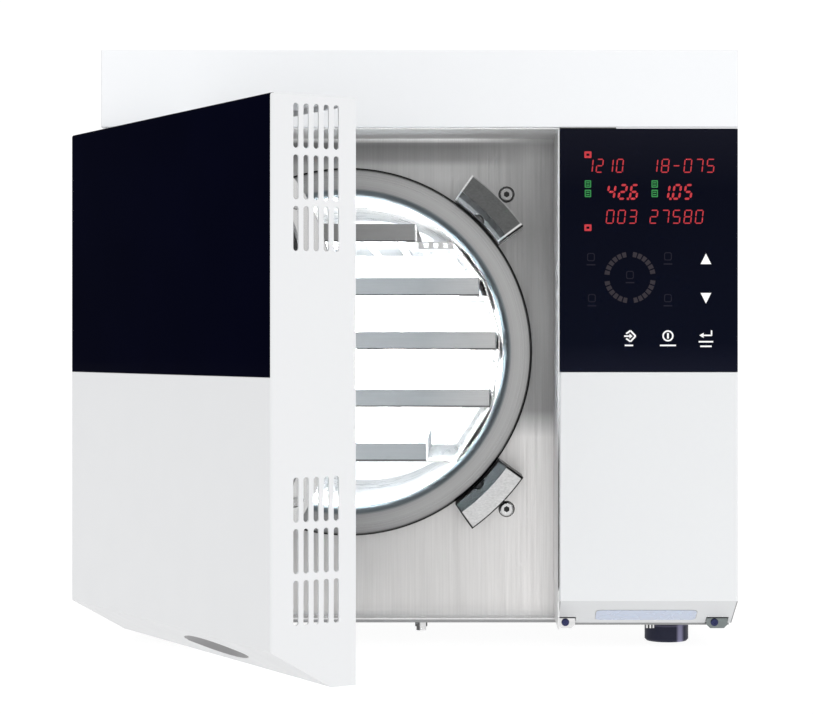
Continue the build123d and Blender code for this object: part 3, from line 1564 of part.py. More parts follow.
door_shell.part = swung(door_shell.part)
door_shell.part.label = "door_shell"
export_step(door_shell.part, "parts/door_shell.step")

# Door glass: black panel that fills the pocket above the divider
with BuildPart() as door_glass:
    add(door_block.part)
    with BuildSketch(facing(front_y)):
        with Locations(((door_left + door_right) / 2, (divider_z + glass_fit + door_top) / 2)):
            Rectangle(
                door_width - 2 * (glass_inset + glass_side_fit), door_top - divider_z - glass_fit
            )
    extrude(amount=-glass_thickness, mode=Mode.INTERSECT)
door_glass.part = swung(door_glass.part)
door_glass.part.label = "door_glass"
export_step(door_glass.part, "parts/door_glass.step")

# Hinge leaf: knuckle on the pin with the plate that carries the door
leaf_thickness = 4.0
leaf_end = left_x + 80.0
leaf_half_height = knuckle_height / 2 - 5.0
with BuildPart() as hinge_leaf:
    with BuildSketch(Plane.XY.offset(chamber_z - knuckle_height / 2)):
        with Locations((hinge_x, hinge_y)):
            Circle(lug_radius)
    extrude(amount=knuckle_height)
    with BuildSketch(Plane.XY.offset(chamber_z - leaf_half_height)):
        with Locations(((hinge_x + leaf_end) / 2, carrier_back_y + leaf_thickness / 2)):
            Rectangle(leaf_end - hinge_x, leaf_thickness)
    extrude(amount=2 * leaf_half_height)
    with BuildSketch(Plane.XY.offset(chamber_z - knuckle_height / 2)):
        with Locations((hinge_x, hinge_y)):
            Circle(pin_radius + shaft_fit)
    extrude(amount=knuckle_height, mode=Mode.SUBTRACT)
hinge_leaf.part = swung(hinge_leaf.part)
hinge_leaf.part.label = "hinge_leaf"
export_step(hinge_leaf.part, "parts/hinge_leaf.step")

# Gear sizes shared by the cam's toothed rim, its pinion and the motor
cam_pitch_radius = gear_module * cam_teeth / 2
pinion_pitch_radius = gear_module * pinion_teeth / 2
gear_centre = cam_pitch_radius + pinion_pitch_radius
pinion_thickness = 5.0
pinion_front = cam_y - 0.5
tooth_overlap = 0.01


def tooth_points(teeth, centre_angle):
    """One involute tooth, root to tip and back: a list of points round the gear's centre."""
    pitch = gear_module * teeth / 2
    base = pitch * cos(radians(pressure_angle))
    tip = pitch + gear_module
    root = pitch - 1.25 * gear_module
    flat = pi / 2 / teeth - gear_backlash / 4 / pitch
    pitch_roll = tan(radians(pressure_angle)) - radians(pressure_angle)
    flank = []
    for step in range(5):
        radius = max(base, root) + (tip - max(base, root)) * step / 4
        roll = acos(min(1.0, base / radius))
        flank.append((radius, flat + pitch_roll - (tan(roll) - roll)))
    rising = [(root, flank[0][1])] + flank if root < base else flank
    turned = [(r, centre_angle - a) for r, a in rising]
    turned += [(r, centre_angle + a) for r, a in reversed(rising)]
    return [(r * cos(a), r * sin(a)) for r, a in turned]


# Door carrier: the welded arm behind the glass, with posts up to the shell
carrier_start = left_x + 34.0
carrier_half_height = 40.0
carrier_reach = 45.0
carrier_up = 157.0
carrier_down = 128.0
carrier_corner = 8.0
post_radius = 6.0
post_x = 34.0
post_up = 148.0
post_down = 118.0
washer_ring = 2.7
hub_margin = 30.0
pinion_shaft = 3.0
shaft_reach = 6.0
with BuildPart() as door_carrier:
    with BuildSketch(across(carrier_y)):
        with Locations(((carrier_start - chamber_x + carrier_reach) / 2, 0)):
            Rectangle(carrier_reach - (carrier_start - chamber_x), 2 * carrier_half_height)
        with Locations((0, (carrier_up - carrier_down) / 2)):
            Rectangle(2 * carrier_reach, carrier_up + carrier_down)
        Circle(shoulder_radius + hub_margin)
        with Locations((0, gear_centre)):
            Circle(pinion_shaft + 1.0, mode=Mode.SUBTRACT)
    extrude(amount=-carrier_thickness)
    fillet(door_carrier.edges().filter_by(Axis.Y).group_by(SortBy.LENGTH)[-1], carrier_corner)
    with BuildSketch(across(carrier_back_y)):
        Circle(shoulder_radius)
        Circle(boss_radius + 0.5, mode=Mode.SUBTRACT)
    extrude(amount=-washer_ring)
    with BuildSketch(across(carrier_y)):
        for x in (-post_x, post_x):
            with Locations((x, post_up)):
                Circle(post_radius)
    extrude(amount=carrier_y - front_y - glass_thickness - door_sheet)
    with BuildSketch(across(carrier_y)):
        for x in (-post_x, post_x):
            with Locations((x, -post_down)):
                Circle(post_radius)
    extrude(amount=carrier_y - front_y - door_sheet)
door_carrier.part = swung(door_carrier.part)
door_carrier.part.label = "door_carrier"
export_step(door_carrier.part, "parts/door_carrier.step")

# Pressure disc: turned plate with boss, web, ribs and a rim bored for the bolts
groove_inner = 130.8
groove_outer = 141.2
groove_depth = 4.0
rim_chamfer = 1.5
rib_width = 6.0
rib_front = front_y + 47.0
with BuildPart() as pressure_disc:
    with BuildSketch(axial):
        with BuildLine():
            Polyline(
                (carrier_back_y, 0),
                (carrier_back_y, boss_radius),
                (cam_back_y + 0.3, boss_radius),
                (cam_back_y + 0.3, shoulder_radius),
                (front_y + web_front, shoulder_radius),
                (front_y + web_front, rim_inner_radius),
                (disc_front_y, rim_inner_radius),
                (disc_front_y, disc_radius - rim_chamfer),
                (disc_front_y + rim_chamfer, disc_radius),
                (disc_back_y - rim_chamfer, disc_radius),
                (disc_back_y, disc_radius - rim_chamfer),
                (disc_back_y, groove_outer),
                (disc_back_y - groove_depth, groove_outer),
                (disc_back_y - groove_depth, groove_inner),
                (disc_back_y, groove_inner),
                (disc_back_y, 0),
                close=True,
            )
        make_face()
    revolve(axis=chamber_axis)
    with BuildSketch(across(rib_front)):
        with PolarLocations((shoulder_radius + rim_inner_radius) / 2, 4):
            Rectangle(rim_inner_radius - shoulder_radius + 2, rib_width)
    extrude(amount=rib_front - front_y - web_front)
    for angle in bolt_angles:
        with BuildSketch(radial(angle, bolt_y, rim_inner_radius - 5)):
            Circle(bolt_radius + bolt_fit)
        extrude(amount=disc_radius - rim_inner_radius + 10, mode=Mode.SUBTRACT)
pressure_disc.part = swung(pressure_disc.part)
pressure_disc.part.label = "pressure_disc"
export_step(pressure_disc.part, "parts/pressure_disc.step")

# Door seal: silicone ring in the disc's groove, with a raised lip
gasket_fit = 0.2
gasket_back = flange_y - 0.3
with BuildPart() as door_gasket:
    with BuildSketch(axial):
        with BuildLine():
            Polyline(
                (disc_back_y - groove_depth + gasket_fit, groove_inner + gasket_fit),
                (gasket_back - 1.0, groove_inner + gasket_fit),
                (gasket_back, groove_inner + gasket_fit + 2.5),
                (gasket_back, groove_outer - gasket_fit - 2.5),
                (gasket_back - 1.0, groove_outer - gasket_fit),
                (disc_back_y - groove_depth + gasket_fit, groove_outer - gasket_fit),
                close=True,
            )
        make_face()
    revolve(axis=chamber_axis)
door_gasket.part = swung(door_gasket.part)
door_gasket.part.label = "door_gasket"
export_step(door_gasket.part, "parts/door_gasket.step")

# Cam plate: a spiral slot for each bolt and a toothed arc for the pinion
slot_width = 2 * (follower_radius + follower_fit)
tooth_angle = 360.0 / cam_teeth
spare_teeth = 2
sector_teeth = int(cam_turn / tooth_angle) + 2 * spare_teeth + 1
sector_low = 90 - (spare_teeth + 0.5) * tooth_angle
sector_high = sector_low + sector_teeth * tooth_angle
cam_root_radius = cam_pitch_radius - 1.25 * gear_module
window_ring = 50.0
window_radius = 13.0
window_start = 22.0
with BuildPart() as cam_plate:
    with BuildSketch(across(cam_y)):
        Circle(cam_radius)
        with BuildLine():
            CenterArc((0, 0), cam_root_radius + tooth_overlap, sector_low, sector_high - sector_low)
            Line((0, 0), polar(cam_root_radius + tooth_overlap, sector_low))
            Line((0, 0), polar(cam_root_radius + tooth_overlap, sector_high))
        make_face()
        for tooth in range(sector_teeth):
            points = tooth_points(cam_teeth, radians(90 + (tooth - spare_teeth) * tooth_angle))
            Polygon(*points, (0, 0), align=None)
        Circle(boss_radius + shaft_fit, mode=Mode.SUBTRACT)
        for angle in bolt_angles:
            with BuildLine(mode=Mode.PRIVATE) as slot_line:
                ThreePointArc(
                    *[
                        polar(follower_start + bolt_stroke * share, angle + cam_turn * share)
                        for share in (0, 0.5, 1)
                    ]
                )
            SlotArc(slot_line.edges()[0], slot_width, mode=Mode.SUBTRACT)
        with PolarLocations(window_ring, 4, window_start):
            Circle(window_radius, mode=Mode.SUBTRACT)
    extrude(amount=-cam_thickness)
cam_plate.part = swung(cam_plate.part)
cam_plate.part.label = "cam_plate"
export_step(cam_plate.part, "parts/cam_plate.step")

# Lock bolts, each with its follower pin in the cam slot
bolt_chamfer = 1.5
for index, angle in enumerate(bolt_angles):
    name = "lock_bolt_" + str(index + 1)
    with BuildPart() as lock_bolt:
        with BuildSketch(radial(angle, bolt_y, disc_radius - bolt_length)):
            Circle(bolt_radius)
        extrude(amount=bolt_length)
        chamfer(lock_bolt.edges().filter_by(GeomType.CIRCLE), bolt_chamfer)
        with BuildSketch(across(cam_y)):
            with PolarLocations(follower_start, 1, angle):
                Circle(follower_radius)
        extrude(amount=cam_y - bolt_y)
    lock_bolt.part = swung(lock_bolt.part)
    lock_bolt.part.label = name
    export_step(lock_bolt.part, "parts/" + name + ".step")

# Motor pinion: fifteen involute teeth on a short shaft
pinion_start = 270.0 + 180.0 / pinion_teeth
with BuildPart() as motor_pinion:
    with BuildSketch(across(pinion_front)):
        with Locations((0, gear_centre)):
            Circle(pinion_pitch_radius - 1.25 * gear_module + tooth_overlap)
            for tooth in range(pinion_teeth):
                turn = pinion_start + tooth * 360 / pinion_teeth
                Polygon(*tooth_points(pinion_teeth, radians(turn)), align=None)
    extrude(amount=-pinion_thickness)
    with BuildSketch(across(pinion_front)):
        with Locations((0, gear_centre)):
            Circle(pinion_shaft)
    extrude(amount=pinion_front - carrier_y + shaft_reach)
motor_pinion.part = swung(motor_pinion.part)
motor_pinion.part.label = "motor_pinion"
export_step(motor_pinion.part, "parts/motor_pinion.step")

# Lock motor: flat gearbox on the carrier's front
motor_radius = 20.0
motor_front = front_y + 8.0
gearbox_depth = 12.0
gearbox_reach = 36.0
can_radius = 15.0
can_offset = 20.0
with BuildPart() as lock_motor:
    with BuildSketch(across(carrier_y - gearbox_depth)):
        with Locations((0, gear_centre)):
            Circle(motor_radius)
        with Locations((0, gear_centre - gearbox_reach / 2)):
            Rectangle(2 * motor_radius, gearbox_reach)
    extrude(amount=-gearbox_depth)
    with BuildSketch(across(carrier_y - gearbox_depth)):
        with Locations((0, gear_centre - can_offset)):
            Circle(can_radius)
    extrude(amount=carrier_y - gearbox_depth - motor_front)
    chamfer(lock_motor.edges().group_by(Axis.Y)[0], 1.0)
    with BuildSketch(across(carrier_y)):
        with Locations((0, gear_centre)):
            Circle(pinion_shaft + shaft_fit)
    extrude(amount=shaft_reach + 1.0, mode=Mode.SUBTRACT)
lock_motor.part = swung(lock_motor.part)
lock_motor.part.label = "lock_motor"
export_step(lock_motor.part, "parts/lock_motor.step")
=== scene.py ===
"""Looks for a bench steam autoclave with its door swung open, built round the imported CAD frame."""

import json
import math

import bmesh
import bpy
from mathutils import Matrix, Vector


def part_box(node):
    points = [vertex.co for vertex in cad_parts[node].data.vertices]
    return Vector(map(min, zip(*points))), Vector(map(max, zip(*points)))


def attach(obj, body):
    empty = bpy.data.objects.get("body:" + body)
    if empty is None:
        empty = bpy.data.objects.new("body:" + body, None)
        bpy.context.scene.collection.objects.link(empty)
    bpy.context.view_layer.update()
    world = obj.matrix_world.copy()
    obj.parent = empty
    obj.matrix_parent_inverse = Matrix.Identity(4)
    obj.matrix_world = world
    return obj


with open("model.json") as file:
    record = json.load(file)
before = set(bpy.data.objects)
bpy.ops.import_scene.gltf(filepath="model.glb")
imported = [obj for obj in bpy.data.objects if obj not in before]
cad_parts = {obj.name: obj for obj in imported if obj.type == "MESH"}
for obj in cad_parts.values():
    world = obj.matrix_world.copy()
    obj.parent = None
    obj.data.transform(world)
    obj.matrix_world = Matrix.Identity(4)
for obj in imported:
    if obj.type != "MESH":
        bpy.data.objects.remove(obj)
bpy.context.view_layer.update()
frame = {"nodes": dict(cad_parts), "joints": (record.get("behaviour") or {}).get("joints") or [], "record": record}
nodes = frame["nodes"]
record = frame["record"]
joints = {joint["name"]: joint for joint in frame["joints"]}
slot_of = {part["node"]: part["material_slot"] for part in record["subparts"]}

# Sizes that the looks follow, in metres, and the claws' ends as angles from the level
MM = 0.001
CLAW_RADIUS = 174.3 * MM
CHAMFER_RADIUS = 158.6 * MM
CLAW_STRIP = 154.0 * MM
CLAW_MIDDLE = math.radians(45)
CLAW_HALF = math.radians(9.6)
CLAW_LOW = CLAW_MIDDLE - CLAW_HALF
CLAW_HIGH = CLAW_MIDDLE + CLAW_HALF
FOOT_RADIUS = 18 * MM
FOOT_HIGHLIGHT = 9.8 * MM
FOOT_STEP = 13.5 * MM
FITTING_SPLIT = 90 * MM
KNURL_PITCH = 2.6 * MM
WALL_SOFT = 0.5 * MM
EDGE_HALF = 0.7 * MM
TRAY_HALF = 122 * MM

# Places read from the frame, in metres, and the door's swing
flange_low, flange_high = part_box("chamber_flange")
chamber_x = (flange_low.x + flange_high.x) / 2
chamber_z = (flange_low.z + flange_high.z) / 2
glass_low, glass_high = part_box("control_glass")
housing_low, housing_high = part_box("control_housing")
rear_low, rear_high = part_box("rear_panel")
top_low, top_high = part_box("top_panel")
fascia_low, fascia_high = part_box("fascia_plate")
fascia_back = flange_high.y
hinge = Vector(joints["door_swing"]["pos_m"])
door_open = -math.radians(joints["door_swing"]["range_deg"][0])
door_spin = Matrix.Translation(hinge) @ Matrix.Rotation(-door_open, 4, "Z") @ Matrix.Translation(-hinge)
tray_edges = [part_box("tray_" + str(number))[0].z for number in range(1, 6)]
foot_low, foot_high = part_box("rubber_feet")
foot_columns = (foot_low.x + FOOT_RADIUS, foot_high.x - FOOT_RADIUS)
fitting_sides = [vertex.co.x for vertex in nodes["drain_fittings"].data.vertices]
boss_high = max(x for x in fitting_sides if x < FITTING_SPLIT)


def linear(shade):
    """The linear value of an 8-bit sRGB shade."""
    share = shade / 255
    return share / 12.92 if share <= 0.04045 else ((share + 0.055) / 1.055) ** 2.4


def grey(shade, tint=(1.0, 1.0, 1.0)):
    """A linear grey with a slight tint."""
    return tuple(linear(shade) * t for t in tint) + (1.0,)


def rgb(red, green, blue):
    """A linear colour from 8-bit sRGB values."""
    return (linear(red), linear(green), linear(blue), 1.0)


def scaled(colour, share):
    """The colour times a share, held below white."""
    return tuple(min(1.0, part * share) for part in colour[:3]) + (1.0,)


def greys(stops):
    """Colour stops from (place, shade) or (place, shade, tint)."""
    return [(place, grey(shade, *tint)) for place, shade, *tint in stops]


# Tints of the greys, and black
WARM = (1.0, 0.985, 0.975)
COOL = (0.86, 1.0, 1.08)
BLACK = (0, 0, 0, 1)


# Materials
class Finish:
    """A Principled material whose colour, roughness and bump come from noise in the row frame."""

    def __init__(self, name, colour, roughness, metallic=0.0, **sockets):
        self.material = bpy.data.materials.new(name)
        self.material.use_nodes = True
        self.tree = self.material.node_tree
        self.bsdf = self.tree.nodes["Principled BSDF"]
        sockets.update(Base_Color=colour, Roughness=roughness, Metallic=metallic)
        for socket, value in sockets.items():
            self.bsdf.inputs[socket.replace("_", " ")].default_value = value
        self.colour = colour
        self.coords = self.node("ShaderNodeTexCoord")
        self.last_bump = None

    def node(self, kind, **settings):
        """Adds a shader node with these settings."""
        made = self.tree.nodes.new(kind)
        for key, value in settings.items():
            setattr(made, key, value)
        return made

    def link(self, source, target):
        self.tree.links.new(source, target)

    def placed(self, stretch=(1, 1, 1), turn=0.0):
        """Row-frame coordinates, turned about Z and then stretched."""
        vector = self.coords.outputs["Object"]
        if turn:
            rotate = self.node("ShaderNodeMapping")
            rotate.inputs["Rotation"].default_value = (0, 0, turn)
            self.link(vector, rotate.inputs["Vector"])
            vector = rotate.outputs["Vector"]
        mapping = self.node("ShaderNodeMapping")
        mapping.inputs["Scale"].default_value = stretch
        self.link(vector, mapping.inputs["Vector"])
        return mapping.outputs["Vector"]

    def noise(self, scale, stretch=(1, 1, 1), detail=3.0, turn=0.0, vector=None):
        """Noise from 0 to 1 at this scale, along the stretched and turned coordinates or the vector."""
        made = self.node("ShaderNodeTexNoise")
        made.inputs["Scale"].default_value = scale
        made.inputs["Detail"].default_value = detail
        self.link(vector or self.placed(stretch, turn), made.inputs["Vector"])
        return made.outputs["Fac"]

    def radius(self, on_door=False):
        """Distance from the chamber's axis, or from the axis of the disc on the open door."""
        vector = self.coords.outputs["Object"]
        if on_door:
            swing = self.node("ShaderNodeMapping")
            swing.inputs["Rotation"].default_value = (0, 0, door_open)
            swing.inputs["Location"].default_value = hinge - Matrix.Rotation(door_open, 3, "Z") @ hinge
            self.link(vector, swing.inputs["Vector"])
            vector = swing.outputs["Vector"]
        shift = self.node("ShaderNodeVectorMath", operation="SUBTRACT")
        shift.inputs[1].default_value = (chamber_x, 0, chamber_z)
        self.link(vector, shift.inputs[0])
        flat = self.node("ShaderNodeVectorMath", operation="MULTIPLY")
        flat.inputs[1].default_value = (1, 0, 1)
        self.link(shift.outputs["Vector"], flat.inputs[0])
        length = self.node("ShaderNodeVectorMath", operation="LENGTH")
        self.link(flat.outputs["Vector"], length.inputs[0])
        return length.outputs["Value"]

    def elevation(self):
        """Angle above or below the chamber's axis, seen from the front, from 0 to a right angle."""
        level = self.math("ABSOLUTE", self.math("SUBTRACT", self.coordinate("Z"), chamber_z))
        side = self.math("ABSOLUTE", self.math("SUBTRACT", self.coordinate("X"), chamber_x))
        return self.math("ARCTAN2", level, side)

    def above_axis(self):
        """1 over the height of the chamber's axis, 0 below it."""
        return self.spread(self.coordinate("Z"), chamber_z - 10 * MM, chamber_z + 10 * MM)

    def coordinate(self, axis, output="Object"):
        """X, Y or Z of the point in the row frame, or of its normal."""
        split = self.node("ShaderNodeSeparateXYZ")
        self.link(self.coords.outputs[output], split.inputs[0])
        return split.outputs[axis]

    def front_face(self):
        """1 on faces that look to the front of the row frame, 0 on the others."""
        return self.spread(self.coordinate("Y", "Normal"), -0.35, -0.55)

    def math(self, operation, first, second=0.0):
        """The result of one operation on numbers or outputs."""
        made = self.node("ShaderNodeMath", operation=operation)
        for socket, given in zip(made.inputs, (first, second)):
            if isinstance(given, float):
                socket.default_value = given
            else:
                self.link(given, socket)
        return made.outputs[0]

    def band(self, value, centre, half, soft=0.0003):
        """1 where the value lies within half of the centre, with soft ends."""
        away = self.math("ABSOLUTE", self.math("SUBTRACT", value, centre))
        return self.spread(away, half, half + soft, 1.0, 0.0)

    def spread(self, value, low, high, to_low=0.0, to_high=1.0):
        """Takes the stretch from low to high to the stretch from to_low to to_high, held at its ends."""
        made = self.node("ShaderNodeMapRange")
        numbers = {"From Min": low, "From Max": high, "To Min": to_low, "To Max": to_high}
        for socket, number in numbers.items():
            made.inputs[socket].default_value = number
        self.link(value, made.inputs["Value"])
        return made.outputs["Result"]

    def ramp(self, value, stops):
        """A colour ramp with stops of (place, colour), places from 0 to 1."""
        made = self.node("ShaderNodeValToRGB")
        elements = made.color_ramp.elements
        while len(elements) > 1:
            elements.remove(elements[-1])
        elements[0].position = stops[0][0]
        elements[0].color = stops[0][1]
        for place, colour in stops[1:]:
            elements.new(place).color = colour
        self.link(value, made.inputs["Fac"])
        return made.outputs["Color"]

    def mix(self, value, first, second):
        """The first colour at 0, the second at 1."""
        made = self.node("ShaderNodeMix", data_type="RGBA", blend_type="MIX")
        for socket, given in ((made.inputs[6], first), (made.inputs[7], second)):
            if isinstance(given, tuple):
                socket.default_value = given
            else:
                self.link(given, socket)
        if isinstance(value, float):
            made.inputs[0].default_value = value
        else:
            self.link(value, made.inputs[0])
        return made.outputs[2]

    def paint(self, output):
        """Takes the base colour from the output."""
        self.link(output, self.bsdf.inputs["Base Color"])

    def tone(self, value, low, high):
        """Base colour between low and high times the material's own colour."""
        self.paint(self.mix(value, scaled(self.colour, low), scaled(self.colour, high)))

    def streaked(self, shade, lines, depth, dark=0.6):
        """Paints the shade with lines up to depth strong, each darker than the shade by dark."""
        darker = self.mix(dark, shade, BLACK)
        self.paint(self.mix(self.spread(lines, 0.3, 0.7, 0.0, depth), shade, darker))

    def rough(self, value, low, high):
        """Roughness from low to high as the noise goes through its usual stretch."""
        self.link(self.spread(value, 0.3, 0.7, low, high), self.bsdf.inputs["Roughness"])

    def bump(self, height, strength, distance=0.0005):
        """Adds a bump on top of the bumps before it."""
        made = self.node("ShaderNodeBump")
        made.inputs["Strength"].default_value = strength
        made.inputs["Distance"].default_value = distance
        self.link(height, made.inputs["Height"])
        if self.last_bump:
            self.link(self.last_bump, made.inputs["Normal"])
        self.last_bump = made.outputs["Normal"]
        self.link(self.last_bump, self.bsdf.inputs["Normal"])


def powder_coat(name, colour, roughness=0.38, under=1.0, ends=None, aside=None):
    """Painted sheet; under paints shade on faces that look down, aside on those that look sideways or back.

    Faces that look up get half of aside's shade. With ends, slanted faces get a dark edge at these X places.
    """
    finish = Finish(name, colour, roughness, Specular_IOR_Level=0.45)
    clouds = finish.mix(finish.noise(6, detail=4), scaled(colour, 0.985), scaled(colour, 1.01))
    down = finish.spread(finish.coordinate("Z", "Normal"), -0.3, -0.6)
    # Painted shade on faces that look down
    paint = finish.mix(down, clouds, scaled(colour, under))
    # Painted shade on faces that look sideways or back, and half as much on those that look up
    if aside:
        sideways = finish.spread(finish.math("ABSOLUTE", finish.coordinate("X", "Normal")), 0.5, 0.7)
        backwards = finish.spread(finish.coordinate("Y", "Normal"), 0.5, 0.7)
        paint = finish.mix(finish.math("MAXIMUM", sideways, backwards), paint, scaled(colour, aside))
        upwards = finish.spread(finish.coordinate("Z", "Normal"), 0.6, 0.8)
        paint = finish.mix(upwards, paint, scaled(colour, (1 + aside) / 2))
    if ends:
        across = finish.coordinate("X")
        edge = finish.math("MAXIMUM", *(finish.band(across, end, EDGE_HALF) for end in ends))
        forward = finish.spread(finish.coordinate("Y", "Normal"), -0.2, -0.4)
        slant = finish.math("MULTIPLY", down, forward)
        paint = finish.mix(finish.math("MULTIPLY", edge, slant), paint, scaled(colour, 0.28))
    finish.paint(paint)
    finish.rough(finish.noise(40), roughness - 0.05, roughness + 0.07)
    finish.bump(finish.noise(1400, detail=1), 0.05, 0.0002)
    finish.bump(finish.noise(260, detail=2), 0.04, 0.0004)
    return finish.material


def black_glass():
    """Back-painted glass, nearly black on the door; painted reflections make the panel's ends a little paler."""
    finish = Finish("black_glass", rgb(3, 4, 19), 0.05, Specular_IOR_Level=0.001)
    door = finish.mix(finish.noise(9, detail=5), rgb(2, 3, 15), rgb(5, 6, 25))
    height = finish.spread(finish.coordinate("Z"), glass_low.z, glass_high.z)
    # Painted reflection: the panel's glass paler towards its top and bottom
    panel = finish.ramp(
        height,
        [(0.0, rgb(24, 26, 39)), (0.12, rgb(14, 17, 30)),
         (0.75, rgb(13, 15, 27)), (1.0, rgb(24, 25, 35))],
    )
    finish.paint(finish.mix(finish.spread(finish.coordinate("X"), 0.0, glass_low.x), door, panel))
    finish.rough(finish.noise(14, detail=6), 0.035, 0.09)
    return finish.material


def brushed(name, colour, stretch, roughness=0.34, contrast=0.12):
    """Brushed metal: stretch is large across the grain and small along it."""
    finish = Finish(name, colour, roughness, 1.0)
    lines = finish.noise(1.0, stretch, detail=4)
    finish.tone(lines, 1 - contrast, 1 + contrast)
    coarser = tuple(share * 0.6 for share in stretch)
    finish.rough(finish.noise(1.0, coarser, detail=3), roughness - 0.08, roughness + 0.1)
    finish.bump(lines, 0.12, 0.0002)
    return finish.material


def turned(name, colour, stops, roughness=0.3, pitch=900.0, on_door=False):
    """Lathe-turned metal round the chamber's or the disc's axis; stops shade it by radius in metres."""
    finish = Finish(name, colour, roughness, 1.0)
    radius = finish.radius(on_door)
    grooves = finish.noise(pitch, detail=3, vector=radius)
    low, high = stops[0][0], stops[-1][0]
    places = [((place - low) / (high - low), colour) for place, colour in stops]
    shade = finish.ramp(finish.spread(radius, low, high), places)
    finish.streaked(shade, grooves, 0.22, dark=0.75)
    finish.rough(grooves, roughness - 0.06, roughness + 0.1)
    finish.bump(grooves, 0.1, 0.0002)
    return finish.material


def polished(name, colour, roughness=0.16):
    """Bright metal with slight waves."""
    finish = Finish(name, colour, roughness, 1.0)
    finish.tone(finish.noise(7, (1, 0.6, 1), detail=5), 0.93, 1.04)
    finish.rough(finish.noise(30, (1, 6, 1), detail=4), roughness - 0.04, roughness + 0.1)
    finish.bump(finish.noise(16, detail=3), 0.08, 0.002)
    return finish.material


def chamber_steel():
    """Satin inside of the vessel, pale enough to burn out white."""
    finish = Finish("chamber_steel", grey(250), 0.3, 0.55)
    finish.tone(finish.noise(7, (1, 0.6, 1), detail=5), 0.95, 1.02)
    finish.rough(finish.noise(30, (1, 6, 1), detail=4), 0.24, 0.38)
    finish.bump(finish.noise(16, detail=3), 0.06, 0.002)
    return finish.material


def cast(name, colour, roughness, metallic=0.0, scale=500.0, strength=0.12, **sockets):
    """Moulded plastic, rubber or plain metal with a fine grain."""
    finish = Finish(name, colour, roughness, metallic, **sockets)
    finish.tone(finish.noise(12, detail=4), 0.93, 1.05)
    finish.rough(finish.noise(60), roughness - 0.05, roughness + 0.08)
    finish.bump(finish.noise(scale, detail=2), strength, 0.0003)
    return finish.material


def glowing(name, colour, strength):
    """A lit segment of the display."""
    finish = Finish(name, scaled(colour, 0.4), 0.5, Emission_Strength=strength)
    glow = finish.mix(finish.noise(500, detail=1), colour, scaled(colour, 1.25))
    finish.link(glow, finish.bsdf.inputs["Emission Color"])
    return finish.material


# Painted shade, light and reflections of the fascia's recess, as greys by place
# Shares of the fascia's height, from its foot, or of its depth, from the back wall, with their greys
BACK_RIGHT_SHADING = (
    (0.0, 244), (0.02, 232, WARM), (0.30, 226, WARM), (0.375, 222, WARM), (0.40, 190), (0.43, 146),
    (0.62, 152), (0.81, 136), (0.92, 150), (0.955, 158), (0.985, 152), (0.995, 172),
)
BACK_LEFT_SHADING = (
    (0.0, 236), (0.02, 214, WARM), (0.40, 208, WARM), (0.60, 184), (0.86, 158), (0.915, 180),
    (0.94, 178), (0.955, 140), (0.983, 128), (0.990, 144), (0.994, 250),
)
HIGH_FOLD_SHADING = ((0.0, 222), (0.3, 228), (0.7, 240), (0.86, 250), (1.0, 254))
LOW_FOLD_SHADING = (
    (0.0, 170), (0.06, 176), (0.10, 254), (0.64, 255), (0.68, 180), (0.72, 255), (0.90, 254),
    (0.94, 120), (1.0, 110),
)


def fascia_steel():
    """Grained back wall with painted shade by height; lighter folded walls, painted brighter to their edge."""
    finish = Finish("fascia_steel", grey(170), 0.36, 1.0)
    height = finish.spread(finish.coordinate("Z"), fascia_low.z, fascia_high.z)
    across = finish.spread(finish.coordinate("X"), chamber_x + 90 * MM, chamber_x + 150 * MM)
    # Painted shade and reflections on the back wall, by height
    left = finish.ramp(height, greys(BACK_LEFT_SHADING))
    right = finish.ramp(height, greys(BACK_RIGHT_SHADING))
    back = finish.mix(across, left, right)
    depth = finish.coordinate("Y")
    forward = finish.spread(depth, fascia_back, fascia_low.y)
    # Painted light, highlights and reflected dark lines on the folded walls, by depth
    high_fold = finish.ramp(forward, greys(HIGH_FOLD_SHADING))
    low_fold = finish.ramp(forward, greys(LOW_FOLD_SHADING))
    fold = finish.mix(finish.spread(height, 0.33, 0.46), low_fold, high_fold)
    # Painted light on the lowest part of the folded walls
    fold = finish.mix(finish.spread(height, 0.085, 0.075), fold, grey(240))
    # Painted light on the recess's roof, which looks down
    roof = finish.spread(finish.coordinate("Z", "Normal"), -0.3, -0.6)
    fold = finish.mix(roof, fold, finish.mix(across, grey(253), grey(240)))
    walls = finish.spread(depth, fascia_back - WALL_SOFT, fascia_back - 4 * WALL_SOFT)
    finish.link(finish.spread(walls, 0.0, 1.0, 1.0, 0.45), finish.bsdf.inputs["Metallic"])
    lines = finish.noise(1.0, (900, 900, 14), detail=4)
    finish.streaked(finish.mix(walls, back, fold), lines, 0.16)
    finish.rough(finish.noise(1.0, (500, 500, 9), detail=3), 0.28, 0.44)
    finish.bump(lines, 0.1, 0.0002)
    return finish.material


